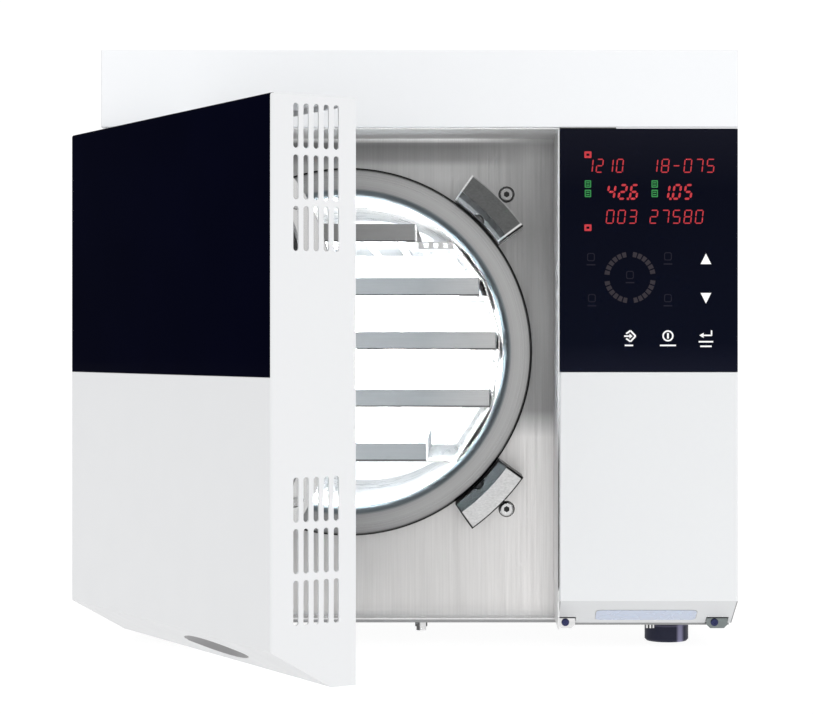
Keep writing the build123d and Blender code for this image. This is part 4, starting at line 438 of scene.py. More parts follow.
def claw_steel():
    """Brushed claws, in painted shade above and painted light below, each with its inner chamfer."""
    finish = Finish("claw_steel", grey(120), 0.36, 1.0)
    radius = finish.radius()
    chamfer = finish.spread(radius, CHAMFER_RADIUS + 0.1 * MM, CHAMFER_RADIUS - 0.2 * MM)
    inner = finish.spread(radius, CLAW_STRIP + 0.2 * MM, CLAW_STRIP - 0.2 * MM)
    rim = finish.spread(radius, CLAW_RADIUS - 1.1 * MM, CLAW_RADIUS - 0.8 * MM)
    elevation = finish.elevation()
    far_end = finish.spread(elevation, CLAW_HIGH - 0.010, CLAW_HIGH - 0.006)
    near_end = finish.spread(elevation, CLAW_LOW + 0.012, CLAW_LOW + 0.008)
    near_line = finish.spread(elevation, CLAW_LOW + 0.021, CLAW_LOW + 0.017)
    # Upper claws in painted shade, with painted highlights on the inner strip, rim and ends, and a dark near end
    upper = finish.mix(chamfer, grey(98, (0.98, 1.0, 1.0)), grey(52))
    upper = finish.mix(inner, upper, grey(124))
    upper = finish.mix(rim, upper, grey(150))
    upper = finish.mix(finish.math("MAXIMUM", far_end, near_line), upper, grey(226))
    upper = finish.mix(near_end, upper, grey(40))
    # Lower claws in painted light, with a chamfer in painted shade and painted shadow lines on rim and ends
    lower = finish.mix(chamfer, grey(216), grey(84, (0.92, 1.0, 1.03)))
    lower = finish.mix(finish.math("MAXIMUM", rim, far_end), lower, grey(52))
    lower = finish.mix(near_end, lower, grey(24))
    high = finish.above_axis()
    front = finish.mix(high, lower, upper)
    # Painted light on the upper claws' side walls and painted shade on the lower ones'
    side = finish.mix(high, grey(20), grey(238))
    lines = finish.noise(1.0, (500, 60, 900), detail=4, turn=0.4)
    finish.streaked(finish.mix(finish.front_face(), side, front), lines, 0.3, dark=0.7)
    finish.rough(finish.noise(1.0, (300, 40, 500), detail=3), 0.3, 0.48)
    finish.bump(lines, 0.12, 0.0002)
    return finish.material


def claw_screw_steel():
    """The screws beside the upper claws stand in shade, the lower ones in light."""
    finish = Finish("claw_screw_steel", grey(205), 0.26, 1.0)
    finish.paint(finish.mix(finish.above_axis(), grey(214), grey(150)))
    finish.rough(finish.noise(90), 0.2, 0.34)
    finish.bump(finish.noise(400, detail=2), 0.08, 0.0003)
    return finish.material


def tray_aluminium():
    """Brushed sheet; painted light pales both ends, painted shade darkens the top tray; a dark lower edge."""
    finish = Finish("tray_aluminium", grey(176), 0.4, 1.0)
    along = finish.spread(finish.coordinate("X"), chamber_x, chamber_x + TRAY_HALF)
    cool = (0.93, 1.0, 1.05)
    # Painted light and shade along the trays
    shade = finish.ramp(along, greys(((0.0, 216, cool), (0.5, 188, cool), (1.0, 196))))
    height = finish.coordinate("Z")
    top_tray = max(tray_edges)
    # Painted shade on the top tray
    top = finish.spread(height, top_tray - 4 * MM, top_tray - 2 * MM)
    shade = finish.mix(top, shade, grey(150))
    edges = None
    for low in tray_edges:
        edge = finish.band(height, low, 0.9 * MM)
        edges = finish.math("MAXIMUM", edges, edge) if edges else edge
    shade = finish.mix(finish.math("MULTIPLY", edges, finish.front_face()), shade, grey(96))
    lines = finish.noise(1.0, (24, 300, 900), detail=4)
    finish.streaked(shade, lines, 0.1)
    finish.rough(finish.noise(1.0, (14, 180, 540), detail=3), 0.32, 0.5)
    finish.bump(lines, 0.12, 0.0002)
    return finish.material


def foot_rubber():
    """Dark rubber, with a painted highlight down each round foot's right side and a fainter one at its step."""
    finish = Finish("foot_rubber", rgb(34, 33, 52), 0.5, Specular_IOR_Level=0.2)
    width = finish.coordinate("X")
    # Painted highlight down the right side of each foot
    painted_sheen = None
    for place in foot_columns:
        streak = finish.band(width, place + FOOT_HIGHLIGHT, 1.0 * MM, 2.4 * MM)
        painted_sheen = finish.math("MAXIMUM", painted_sheen, streak) if painted_sheen else streak
    grain = finish.mix(finish.noise(14, detail=4), rgb(30, 32, 52), rgb(38, 40, 60))
    # Painted highlight ring at the foot's step
    step = finish.band(finish.coordinate("Z"), FOOT_STEP, 0.4 * MM, 0.8 * MM)
    grain = finish.mix(finish.math("MULTIPLY", step, 0.3), grain, rgb(128, 124, 150))
    finish.paint(finish.mix(finish.math("MULTIPLY", painted_sheen, 0.95), grain, rgb(140, 138, 168)))
    finish.rough(finish.noise(60), 0.42, 0.6)
    finish.bump(finish.noise(700, detail=2), 0.2, 0.0003)
    return finish.material


def foil():
    """Crumpled foil of the chamber's jacket."""
    finish = Finish("jacket_foil", grey(190), 0.3, 0.9)
    crumple = finish.node("ShaderNodeTexVoronoi", feature="DISTANCE_TO_EDGE")
    crumple.inputs["Scale"].default_value = 70
    finish.link(finish.placed(), crumple.inputs["Vector"])
    finish.bump(crumple.outputs["Distance"], 0.5, 0.004)
    finish.tone(finish.noise(20, detail=4), 0.85, 1.1)
    return finish.material


def circuit():
    """Green solder mask with fine tracks."""
    finish = Finish("board_green", rgb(16, 84, 46), 0.35)
    tracks = finish.node("ShaderNodeTexBrick")
    tracks.inputs["Scale"].default_value = 260
    tracks.inputs["Color1"].default_value = rgb(16, 84, 46)
    tracks.inputs["Color2"].default_value = rgb(22, 96, 52)
    tracks.inputs["Mortar"].default_value = rgb(60, 130, 70)
    finish.link(finish.placed(), tracks.inputs["Vector"])
    finish.paint(tracks.outputs["Color"])
    finish.rough(finish.noise(90), 0.28, 0.42)
    return finish.material


def fitting_mix():
    """Dark drain boss on the left with a painted highlight on its flank; chromed knurled port on the right."""
    finish = Finish("drain_fittings", grey(60), 0.3, 0.8)
    across = finish.coordinate("X")
    right = finish.spread(across, FITTING_SPLIT, FITTING_SPLIT + 10 * MM)
    # Painted highlight on the boss's flank
    flank = finish.spread(across, boss_high - 6.5 * MM, boss_high - 5.5 * MM)
    edge = finish.spread(across, boss_high - 1.2 * MM, boss_high - 0.9 * MM)
    boss = finish.mix(edge, finish.mix(flank, grey(96), grey(226)), grey(70))
    # Painted reflections: light and dark stripes across the port's knurl
    turns = finish.math("MULTIPLY", across, 2 * math.pi / KNURL_PITCH)
    ribs = finish.spread(finish.math("SINE", turns), -0.2, 0.3)
    finish.paint(finish.mix(right, boss, finish.mix(ribs, grey(70), grey(236))))
    finish.rough(finish.noise(80), 0.2, 0.4)
    return finish.material


def bracket_steel():
    """Zinc-plated sheet: the left bracket catches the light, the right one lies in shade."""
    finish = Finish("bracket_grey", grey(176), 0.36, 1.0)
    middle = (housing_low.x + housing_high.x) / 2
    right = finish.spread(finish.coordinate("X"), middle, middle + MM)
    shade = finish.mix(right, grey(232), grey(138, (0.9, 1.0, 1.0)))
    lines = finish.noise(1.0, (300, 80, 600), detail=4)
    finish.streaked(shade, lines, 0.2)
    finish.rough(finish.noise(1.0, (180, 50, 360), detail=3), 0.28, 0.44)
    finish.bump(lines, 0.12, 0.0002)
    return finish.material


# Radii of the mouth's ring in millimetres, with their greys
# The greys paint shade on the ring's rounded outer edge and inner roll, and a highlight on its inner lip
RING = (
    (126.5, 172, COOL), (128.5, 114, COOL), (131.5, 118, COOL), (133.5, 164), (140.0, 174),
    (146.5, 162), (148.2, 142), (149.0, 60), (149.6, 20), (150.0, 20),
)
ring_stops = [(radius * MM, colour) for radius, colour in greys(RING)]
disc_stops = [(0.0, grey(196)), (147 * MM, grey(206))]
housing_ends = (housing_low.x, housing_high.x)
finishes = {
    # The whites get painted shade from under and aside on faces that look down, sideways or back
    "cabinet_white": powder_coat("cabinet_white", grey(250, (0.985, 1.0, 1.02)), aside=0.8),
    "control_white": powder_coat(
        "control_white", grey(237, (0.985, 1.0, 1.015)), 0.42, 0.8, housing_ends, 0.88
    ),
    "door_white": powder_coat("door_white", grey(232, (0.99, 1.0, 1.015)), 0.36, 0.86),
    "lid_white": cast("lid_white", grey(244), 0.35, scale=900, strength=0.05),
    "zinc_sheet": cast("zinc_sheet", grey(156, (0.99, 1.0, 1.01)), 0.42, 0.9, 60, 0.08),
    "foot_rubber": foot_rubber(),
    "screw_steel": polished("screw_steel", grey(205), 0.2),
    "fascia_steel": fascia_steel(),
    "black_glass": black_glass(),
    "board_green": circuit(),
    "chamber_steel": chamber_steel(),
    "flange_steel": turned("flange_steel", grey(150), ring_stops),
    "jacket_foil": foil(),
    "claw_steel": claw_steel(),
    "tray_aluminium": tray_aluminium(),
    "rack_steel": brushed("rack_steel", grey(196), (300, 20, 600), 0.3, 0.08),
    "tank_plastic": cast("tank_plastic", rgb(214, 222, 230), 0.4),
    "boiler_steel": brushed("boiler_steel", grey(186), (500, 500, 20), 0.34, 0.1),
    "pump_grey": cast("pump_grey", grey(92, (0.98, 1.0, 1.04)), 0.5, 0.3, 260, 0.25),
    "fin_aluminium": brushed("fin_aluminium", grey(206), (60, 400, 30), 0.35, 0.08),
    "valve_brass": brushed("valve_brass", rgb(196, 164, 96), (300, 80, 300), 0.28, 0.1),
    "fan_black": cast("fan_black", grey(30), 0.5, scale=900, strength=0.15),
    "rocker_black": cast("rocker_black", grey(26), 0.25, scale=900, strength=0.04),
    "knob_red": cast("knob_red", rgb(172, 30, 24), 0.4, scale=700, strength=0.12),
    "fitting_dark": fitting_mix(),
    "bracket_grey": bracket_steel(),
    "disc_aluminium": turned("disc_aluminium", grey(200), disc_stops, 0.24, 700.0, on_door=True),
    "seal_silicone": cast(
        "seal_silicone", grey(206, (0.98, 1.0, 1.0)), 0.5, scale=300, strength=0.1, Subsurface_Weight=0.1
    ),
    "lock_steel": brushed("lock_steel", grey(168), (300, 300, 300), 0.3, 0.12),
    "motor_black": cast("motor_black", grey(38), 0.45, scale=600, strength=0.15),
}
claw_screw_finish = claw_screw_steel()
for node_name, thing in nodes.items():
    material = claw_screw_finish if node_name == "claw_screws" else finishes[slot_of[node_name]]
    if not thing.material_slots:
        thing.data.materials.append(material)
    for slot in thing.material_slots:
        slot.material = material

red_glow = glowing("display_red", rgb(190, 30, 44), 0.62)
green_glow = glowing("display_green", rgb(24, 130, 58), 0.66)
ink = {"roughness": 0.5, "scale": 900, "strength": 0.02}
white_print = cast("print_white", grey(250), **ink, Emission_Strength=0.12)
dim_print = cast("print_dim", rgb(58, 54, 60), **ink, Specular_IOR_Level=0.02)
faint_print = cast("print_faint", rgb(38, 37, 48), **ink, Specular_IOR_Level=0.02)
lilac_lens = cast(
    "lilac_lens", rgb(206, 211, 228), 0.25, scale=200, strength=0.05, Subsurface_Weight=0.2
)
blue_screw = cast("blue_screw", rgb(58, 62, 98), 0.28, 0.9, 400, 0.1)
# Dark grey for painted shade: the strip over the glass, the screw sockets and the rings round the screws
painted_shade = cast("painted_shade", grey(44), 0.6)
# Grey of the scoop's lining: painted shade in the cup
scoop_shade = cast("scoop_shade", grey(154, (1.0, 0.99, 1.01)), 0.5)
bar_rim = cast("bar_rim", grey(176), 0.5)
chrome = finishes["screw_steel"]


# Mesh tools
SMOOTH_ANGLE = math.radians(30)


def closed(name, build, material):
    """A scene object whose mesh comes from build(bm), with its normals turned outwards."""
    bm = bmesh.new()
    build(bm)
    bmesh.ops.recalc_face_normals(bm, faces=bm.faces[:])
    mesh = bpy.data.meshes.new(name)
    bm.to_mesh(mesh)
    bm.free()
    mesh.materials.append(material)
    made = bpy.data.objects.new(name, mesh)
    bpy.context.scene.collection.objects.link(made)
    return made


def piece(name, build, material, body):
    """A piece of the autoclave that rides on its body."""
    made = closed(name, build, material)
    for face in made.data.polygons:
        face.use_smooth = True
    made.data.set_sharp_from_angle(angle=SMOOTH_ANGLE)
    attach(made, body)


def add_prism(bm, outline, place, depth):
    """A solid with this flat outline: place(u, v, w) gives the point, w from 0 to depth."""
    low = [bm.verts.new(place(u, v, 0.0)) for u, v in outline]
    high = [bm.verts.new(place(u, v, depth)) for u, v in outline]
    bm.faces.new(low)
    bm.faces.new(high)
    count = len(outline)
    for i in range(count):
        j = (i + 1) % count
        bm.faces.new((low[i], low[j], high[j], high[i]))


def add_ring_prism(bm, outer, inner, place, depth):
    """A closed band between two outlines of the same number of points."""
    rows = []
    for outline, w in ((outer, 0.0), (outer, depth), (inner, depth), (inner, 0.0)):
        rows.append([bm.verts.new(place(u, v, w)) for u, v in outline])
    count = len(outer)
    for r in range(4):
        first, second = rows[r], rows[(r + 1) % 4]
        for i in range(count):
            j = (i + 1) % count
            bm.faces.new((first[i], first[j], second[j], second[i]))


def add_lathe(bm, profile, place, shape, steps=24):
    """Turns (radius, height) points round an axis; shape(index, angle, radius) gives each radius."""
    rings = []
    for index, (radius, height) in enumerate(profile):
        ring = []
        for step in range(steps):
            angle = 2 * math.pi * step / steps
            reach = shape(index, angle, radius)
            ring.append(bm.verts.new(place(reach * math.cos(angle), reach * math.sin(angle), height)))
        rings.append(ring)
    for low, high in zip(rings, rings[1:]):
        for i in range(steps):
            j = (i + 1) % steps
            bm.faces.new((low[i], low[j], high[j], high[i]))
    bm.faces.new(rings[0])
    bm.faces.new(rings[-1])


def frame_at(origin, normal, up=(0, 0, 1)):
    """place(u, v, w) on a plane through origin: w along normal, v near up."""
    w_axis = Vector(normal).normalized()
    v_axis = (Vector(up) - Vector(up).dot(w_axis) * w_axis).normalized()
    u_axis = v_axis.cross(w_axis)
    start = Vector(origin)

    def place(u, v, w):
        return start + u_axis * u + v_axis * v + w_axis * w

    return place


def rounded(width, height, corner, steps=5):
    """A rounded rectangle's outline about the origin."""
    points = []
    for quarter, (right, up) in enumerate(((1, 1), (-1, 1), (-1, -1), (1, -1))):
        middle_x = right * (width / 2 - corner)
        middle_y = up * (height / 2 - corner)
        for step in range(steps + 1):
            angle = math.pi / 2 * (quarter + step / steps)
            points.append((middle_x + corner * math.cos(angle), middle_y + corner * math.sin(angle)))
    return points


def arc(radius, start, end, steps):
    """Points on an arc about the origin, from one angle in degrees to another."""
    turns = [math.radians(start + (end - start) * step / steps) for step in range(steps + 1)]
    return [(radius * math.cos(turn), radius * math.sin(turn)) for turn in turns]


def circle(radius, steps=32):
    """A circle's points about the origin."""
    return arc(radius, 0, 360, steps)[:-1]


def hexagon_radius(angle, across):
    """Radius of a hexagon with this distance across its flats."""
    turn = (angle + math.pi / 6) % (math.pi / 3) - math.pi / 6
    return across / 2 / math.cos(turn)


def add_screw(bm, origin, normal, radius, height, socket):
    """A button-head screw with a hexagon socket."""
    place = frame_at(origin, normal)
    profile = [
        (radius, 0.0), (radius, height * 0.3), (radius * 0.94, height * 0.62),
        (radius * 0.8, height * 0.86), (radius * 0.62, height), (socket * 0.56, height),
    ]
    round_rings = len(profile)
    profile += [(socket * 0.5, height * 0.96), (socket * 0.5, height * 0.35)]

    def shape(index, angle, given):
        return given if index < round_rings else hexagon_radius(angle, socket)

    add_lathe(bm, profile, place, shape)


def screws(name, places, normal, radius, height, material, body, slot):
    """Equal screws at these places, as one piece."""
    def build(bm):
        for origin in places:
            add_screw(bm, origin, normal, radius, height, radius * 0.9)

    piece(name, build, material, body)


# Display: places on the glass in millimetres, from its left edge and down from its top
PRINT_LIFT = 0.06 * MM
PRINT_DEPTH = 0.05 * MM


def on_glass(u, v, w):
    """A point of a print, w proud of the glass."""
    return Vector((glass_low.x + u * MM, glass_low.y - PRINT_LIFT - w, glass_high.z - v * MM))


def moved(outline, u, v):
    """The outline shifted to this place."""
    return [(u + x, v + y) for x, y in outline]


def add_print(bm, outline, place=on_glass):
    """A flat print of this outline."""
    add_prism(bm, outline, place, PRINT_DEPTH)


def add_frame(bm, u, v, outer, inner):
    """A printed frame between two rounded rectangles of (width, height, corner)."""
    add_ring_prism(bm, moved(rounded(*outer), u, v), moved(rounded(*inner), u, v), on_glass, PRINT_DEPTH)


def add_arc_band(bm, centre, radii, start, end, steps=6):
    """A printed band between two radii, from one angle in degrees to another."""
    inner, outer = radii
    outline = arc(outer, start, end, steps) + arc(inner, start, end, steps)[::-1]
    add_print(bm, moved(outline, *centre))


def add_bar(bm, u0, v0, u1, v1, thick):
    """A straight printed stroke."""
    start, end = Vector((u0, v0)), Vector((u1, v1))
    along = (end - start).normalized() * thick / 2
    side = Vector((-along.y, along.x))
    add_print(bm, [start + side, end + side, end - side, start - side])


SEGMENTS = {
    "0": "abcdef", "1": "bc", "2": "abged", "3": "abgcd", "4": "fgbc",
    "5": "afgcd", "6": "afgecd", "7": "abc", "8": "abcdefg", "-": "g",
}


def add_digit(bm, char, left, top, width, height, thick, slant):
    """One seven-segment digit with pointed segments."""
    def place(u, v, w):
        return on_glass(left + u + slant * (height - v), top + v, w)

    gap = thick * 0.28
    half = thick / 2
    mid = height / 2
    right = width - half
    low = height - half
    spans = {
        "a": ((half, half), (right, half)), "b": ((right, half), (right, mid)),
        "c": ((right, mid), (right, low)), "d": ((half, low), (right, low)),
        "e": ((half, mid), (half, low)), "f": ((half, half), (half, mid)),
        "g": ((half, mid), (right, mid)),
    }
    for name in SEGMENTS[char]:
        first, last = (Vector(end) for end in spans[name])
        along = (last - first).normalized()
        tip = along * half
        side = Vector((tip.y, -tip.x))
        first += along * gap
        last -= along * gap
        near, far = first + tip, last - tip
        add_print(bm, [first, near + side, far + side, last, far - side, near - side], place)


# Rows of (digits, left, top, width, height, pitch, stroke, slant)
DISPLAY_ROWS = (
    ("1210", 20.2, 23.4, 5.6, 11.0, 7.9, 0.9, 0.10),
    ("18-075", 70.3, 23.4, 6.2, 11.0, 8.9, 0.9, 0.10),
    ("426", 36.2, 43.2, 6.8, 12.4, 8.9, 1.7, 0.16),
    ("105", 78.7, 43.2, 6.8, 12.4, 8.9, 1.7, 0.16),
    ("003", 36.0, 63.4, 6.2, 11.0, 8.9, 0.9, 0.10),
    ("27580", 70.3, 63.4, 6.2, 11.0, 8.9, 0.9, 0.10),
)
DISPLAY_POINTS = ((53.6, 54.8), (86.9, 54.8))
POINT_HALF = 0.9
RED_FRAMES = ((22.2, 20.2), (22.2, 77.5))
GREEN_FRAMES = ((22.2, 43.2), (22.2, 50.6), (74.6, 43.2), (74.6, 50.6))


def build_red(bm):
    """Digits with their points, and two frames."""
    for text, left, top, width, height, pitch, thick, slant in DISPLAY_ROWS:
        for index, char in enumerate(text):
            add_digit(bm, char, left + index * pitch, top, width, height, thick, slant)
    for u, v in DISPLAY_POINTS:
        add_bar(bm, u - POINT_HALF, v, u + POINT_HALF, v, 2 * POINT_HALF)
    for u, v in RED_FRAMES:
        add_frame(bm, u, v, (5.6, 5.2, 0.6), (2.4, 1.8, 0.3))


def build_green(bm):
    """Frames with two strokes in each."""
    for u, v in GREEN_FRAMES:
        add_frame(bm, u, v, (5.0, 5.8, 0.5), (3.4, 4.0, 0.3))
        for offset in (-0.9, 0.9):
            add_print(bm, moved(rounded(2.6, 0.9, 0.2), u, v + offset))


piece("display_red", build_red, red_glow, "cabinet")
piece("display_green", build_green, green_glow, "cabinet")

# Keys, and the dial with its marks placed in degrees
ARROW_KEYS = ((114.8, 101.9, 1), (114.8, 132.9, -1))
ARROW_HALF = 4.2
ENTRY_KEY = (55.4, 162.6)
OPEN_DIAMOND = ((-3.2, -1.9), (0.2, -4.3), (4.2, 0.0), (0.2, 4.3), (-3.2, 1.9))
POWER_KEY = (85.0, 162.4)
POWER_RING = (3.2, 4.4)
START_KEY = (114.8, 161.0)
KEY_STROKES = ((54.4, 169.9, 6.6), (85.0, 169.9, 12.6), (114.8, 167.0, 11.4), (114.8, 170.6, 9.0))
STROKE_THICK = 1.2
DIAL_CENTRE = (55.2, 116.6)
DIAL_RING = (16.2, 20.2)
DIAL_QUARTER = 6
DIAL_START = 7
DIAL_PITCH = 12.8
DIAL_MARK = 9.8
FAINT_KEYS = ((24.6, 100.6), (25.3, 132.8), (85.0, 100.0), (85.0, 132.8), (55.2, 114.6))


def build_white(bm):
    """Marks of the lit keys."""
    for u, v, way in ARROW_KEYS:
        foot = way * ARROW_HALF
        add_print(bm, moved([(-ARROW_HALF, foot), (ARROW_HALF, foot), (0, -foot)], u, v))
    # Entry key: an arrow into a diamond that is open on its left
    u, v = ENTRY_KEY
    for (a, b), (c, d) in zip(OPEN_DIAMOND, OPEN_DIAMOND[1:]):
        add_bar(bm, u + a, v + b, u + c, v + d, 1.3)
    add_bar(bm, u - 4.8, v, u + 0.2, v, STROKE_THICK)
    add_print(bm, moved([(-0.6, -2.0), (1.8, 0.0), (-0.6, 2.0)], u, v))
    # Power key: a ring round a stroke
    u, v = POWER_KEY
    for start in (0, 180):
        add_arc_band(bm, POWER_KEY, POWER_RING, start, start + 180, steps=14)
    add_bar(bm, u, v - 2.2, u, v + 2.2, 1.4)
    # Start key: a return arrow
    u, v = START_KEY
    add_bar(bm, u - 2.6, v + 1.0, u + 4.9, v + 1.0, 1.1)
    add_bar(bm, u + 4.4, v + 1.2, u + 4.4, v - 2.9, 1.1)
    add_print(bm, moved([(-1.8, -1.0), (-5.2, 1.0), (-1.8, 3.0)], u, v))
    # Plain strokes under the keys
    for u, v, length in KEY_STROKES:
        add_bar(bm, u - length / 2, v, u + length / 2, v, STROKE_THICK)


def build_dim(bm):
    """The dial's ring of marks."""
    for mark in range(4 * DIAL_QUARTER):
        quarter, step = divmod(mark, DIAL_QUARTER)
        start = 90 * quarter + DIAL_START + step * DIAL_PITCH
        add_arc_band(bm, DIAL_CENTRE, DIAL_RING, start, start + DIAL_MARK)


def build_faint(bm):
    """Unlit keys: a frame over a stroke."""
    for u, v in FAINT_KEYS:
        add_frame(bm, u, v, (6.0, 6.4, 1.6), (4.6, 5.0, 1.1))
        add_bar(bm, u - 3.4, v + 6.0, u + 3.4, v + 6.0, 1.0)


piece("display_white", build_white, white_print, "cabinet")
piece("display_dim", build_dim, dim_print, "cabinet")
piece("display_faint", build_faint, faint_print, "cabinet")

# Painted shadow: a dark strip on the lip over the glass, along its left part
GLASS_SHADOW_LIFT = 0.2 * MM
GLASS_SHADOW_HIGH = 0.9 * MM
GLASS_SHADOW_LONG = 44.4 * MM
GLASS_SHADOW_DEPTH = 0.05 * MM
glass_shadow_start = (glass_low.x, glass_low.y, glass_high.z + GLASS_SHADOW_LIFT)


def build_seam(bm):
    outline = [(0, 0), (GLASS_SHADOW_LONG, 0), (GLASS_SHADOW_LONG, GLASS_SHADOW_HIGH), (0, GLASS_SHADOW_HIGH)]
    add_prism(bm, outline, frame_at(glass_shadow_start, (0, -1, 0)), GLASS_SHADOW_DEPTH)


piece("glass_shadow_gap", build_seam, painted_shade, "cabinet")

# Light bar on the bevel of the control housing
BEVEL_TOP = 42.5 * MM
BEVEL_DEPTH = 43 * MM
BAR_DOWN = 0.63
BAR_LENGTH = 80 * MM
BAR_WIDTH = 21 * MM
BAR_CORNER = 4 * MM
BAR_DEPTH = 0.35 * MM
RIM_GAP = 0.05 * MM
RIM_WIDTH = 0.5 * MM
RIM_DEPTH = 0.2 * MM
bevel_middle = (housing_low.x + housing_high.x) / 2
bevel_top = Vector((bevel_middle, housing_low.y, BEVEL_TOP))
bevel_end = Vector((bevel_middle, housing_low.y + BEVEL_DEPTH, housing_low.z))
bevel_way = (bevel_end - bevel_top).normalized()
bevel_normal = Vector((0, bevel_way.z, -bevel_way.y))
bevel_place = frame_at(bevel_top.lerp(bevel_end, BAR_DOWN), bevel_normal)


def bar_outline(grow):
    """The light bar's outline, larger by grow all round."""
    return rounded(BAR_LENGTH + 2 * grow, BAR_WIDTH + 2 * grow, BAR_CORNER + grow)


def build_bar(bm):
    add_prism(bm, bar_outline(0), bevel_place, BAR_DEPTH)


def build_bar_rim(bm):
    add_ring_prism(bm, bar_outline(RIM_WIDTH), bar_outline(RIM_GAP), bevel_place, RIM_DEPTH)


piece("light_bar", build_bar, lilac_lens, "cabinet")
piece("light_bar_rim", build_bar_rim, bar_rim, "cabinet")


# Finger scoop: a grey lining laid in the cup as painted shade, built on the closed door and swung open
DOOR_LEFT = -249 * MM
DOOR_FACE_BOTTOM = 40 * MM
DOOR_BOTTOM = 13.8 * MM
DOOR_BEVEL_DEPTH = 45.3 * MM
SCOOP_CENTRE = 223 * MM
SCOOP_HALF = 59 * MM
SCOOP_DEPTH = 15 * MM
SCOOP_LIFT = 4 * MM
LINING_CLEAR = 0.05 * MM
LINING = 0.3 * MM
LINING_REACH = 0.985
door_drop = DOOR_FACE_BOTTOM - DOOR_BOTTOM
slope = math.atan2(door_drop, DOOR_BEVEL_DEPTH)
slope_way = Vector((0, math.cos(slope), -math.sin(slope)))
inward = Vector((0, math.sin(slope), math.cos(slope)))
scoop_axis = Vector(
    (DOOR_LEFT + SCOOP_CENTRE, housing_low.y + DOOR_BEVEL_DEPTH / 2, DOOR_FACE_BOTTOM - door_drop / 2)
) - inward * SCOOP_LIFT
bow = (SCOOP_HALF**2 + SCOOP_DEPTH**2) / (2 * SCOOP_DEPTH)
lens_half = math.sqrt(bow**2 - (bow - SCOOP_DEPTH + SCOOP_LIFT) ** 2)


def build_lining(bm):
    """Two curved sheets along the cup's wall, joined at their edges."""
    along, around = 20, 8
    layers = []
    for clear in (LINING_CLEAR, LINING_CLEAR + LINING):
        grid = []
        for i in range(along + 1):
            s = lens_half * LINING_REACH * (2 * i / along - 1)
            radius = math.sqrt(bow**2 - s**2) - bow + SCOOP_DEPTH
            reach = math.acos(min(1.0, SCOOP_LIFT / radius)) * LINING_REACH
            row = []
            for j in range(around + 1):
                turn = reach * (2 * j / around - 1)
                spoke = inward * math.cos(turn) + slope_way * math.sin(turn)
                point = scoop_axis + Vector((s, 0, 0)) + spoke * (radius - clear)
                row.append(bm.verts.new(door_spin @ point))
            grid.append(row)
        layers.append(grid)
    outer, inner = layers
    for grid in layers:
        for i in range(along):
            for j in range(around):
                bm.faces.new((grid[i][j], grid[i + 1][j], grid[i + 1][j + 1], grid[i][j + 1]))
    for i in range(along):
        for j in (0, around):
            bm.faces.new((outer[i][j], outer[i + 1][j], inner[i + 1][j], inner[i][j]))
    for j in range(around):
        for i in (0, along):
            bm.faces.new((outer[i][j], outer[i][j + 1], inner[i][j + 1], inner[i][j]))


piece("scoop_shade_lining", build_lining, scoop_shade, "door")


# Painted shade in the claw screws' sockets and painted shadow rings round their heads
screw_low, screw_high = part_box("claw_screws")
SCREW_HEAD = 6.0 * MM
SOCKET_ACROSS = 4.4 * MM
SOCKET_LIFT = 0.02 * MM
SOCKET_DEPTH = 0.1 * MM
SHADOW_GAP = 0.05 * MM
SHADOW_WIDTH = 0.7 * MM
SHADOW_DEPTH = 0.3 * MM
claw_screw_places = [
    (x, z)
    for z in (screw_low.z + SCREW_HEAD, screw_high.z - SCREW_HEAD)
    for x in (screw_low.x + SCREW_HEAD, screw_high.x - SCREW_HEAD)
]


def build_sockets(bm):
    corner = SOCKET_ACROSS / 2 / math.cos(math.pi / 6)
    hexagon = arc(corner, 30, 390, 6)[:-1]
    for x, z in claw_screw_places:
        place = frame_at((x, screw_low.y - SOCKET_LIFT, z), (0, -1, 0))
        add_prism(bm, hexagon, place, SOCKET_DEPTH)


def build_shadows(bm):
    outer = circle(SCREW_HEAD + SHADOW_WIDTH)
    inner = circle(SCREW_HEAD + SHADOW_GAP)
    for x, z in claw_screw_places:
        add_ring_prism(bm, outer, inner, frame_at((x, fascia_back, z), (0, -1, 0)), SHADOW_DEPTH)


piece("claw_screw_socket_shade", build_sockets, painted_shade, "cabinet")
piece("claw_screw_shadows", build_shadows, painted_shade, "cabinet")

# Screws in the corner brackets
bracket_low, bracket_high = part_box("corner_brackets")
BRACKET_SCREW = (3.1 * MM, 1.4 * MM)
BRACKET_UP = 4.8 * MM
BRACKET_LEFT = 6.2 * MM
BRACKET_RIGHT = 10.6 * MM
bracket_columns = (bracket_low.x + BRACKET_LEFT, bracket_high.x - BRACKET_RIGHT)
bracket_places = [(x, bracket_low.y, bracket_low.z + BRACKET_UP) for x in bracket_columns]
screws(
    "bracket_screws", bracket_places, (0, -1, 0), *BRACKET_SCREW, blue_screw, "cabinet", "screw_steel"
)

# Panel screws: radius and height of their heads, and how far they stand from the edges
PANEL_SCREW = (3.2 * MM, 1.6 * MM)
EDGE_IN = 8 * MM
SIDE_END = 26 * MM
SIDE_REAR = 10 * MM
SIDE_UP = 130 * MM
SIDE_DOWN = 120 * MM
REAR_END = 16 * MM
REAR_MIDDLE = 14 * MM
TOP_REAR = 9 * MM
TOP_END = 20 * MM
TOP_INNER = 90 * MM
side_low, side_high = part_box("right_side_panel")
side_row = (side_low.y + SIDE_END, (side_low.y + side_high.y) / 2, side_high.y - SIDE_END)
side_column = (side_low.z + SIDE_UP, side_high.z - SIDE_DOWN)
for side, name in ((-1, "left"), (1, "right")):
    x = side * side_high.x
    places = [(x, y, side_low.z + EDGE_IN) for y in side_row]
    places += [(x, side_high.y - SIDE_REAR, z) for z in side_column]
    screws("screws_" + name, places, (side, 0, 0), *PANEL_SCREW, chrome, "cabinet", "screw_steel")
rear_row = (rear_low.x + REAR_END, (rear_low.x + rear_high.x) / 2, rear_high.x - REAR_END)
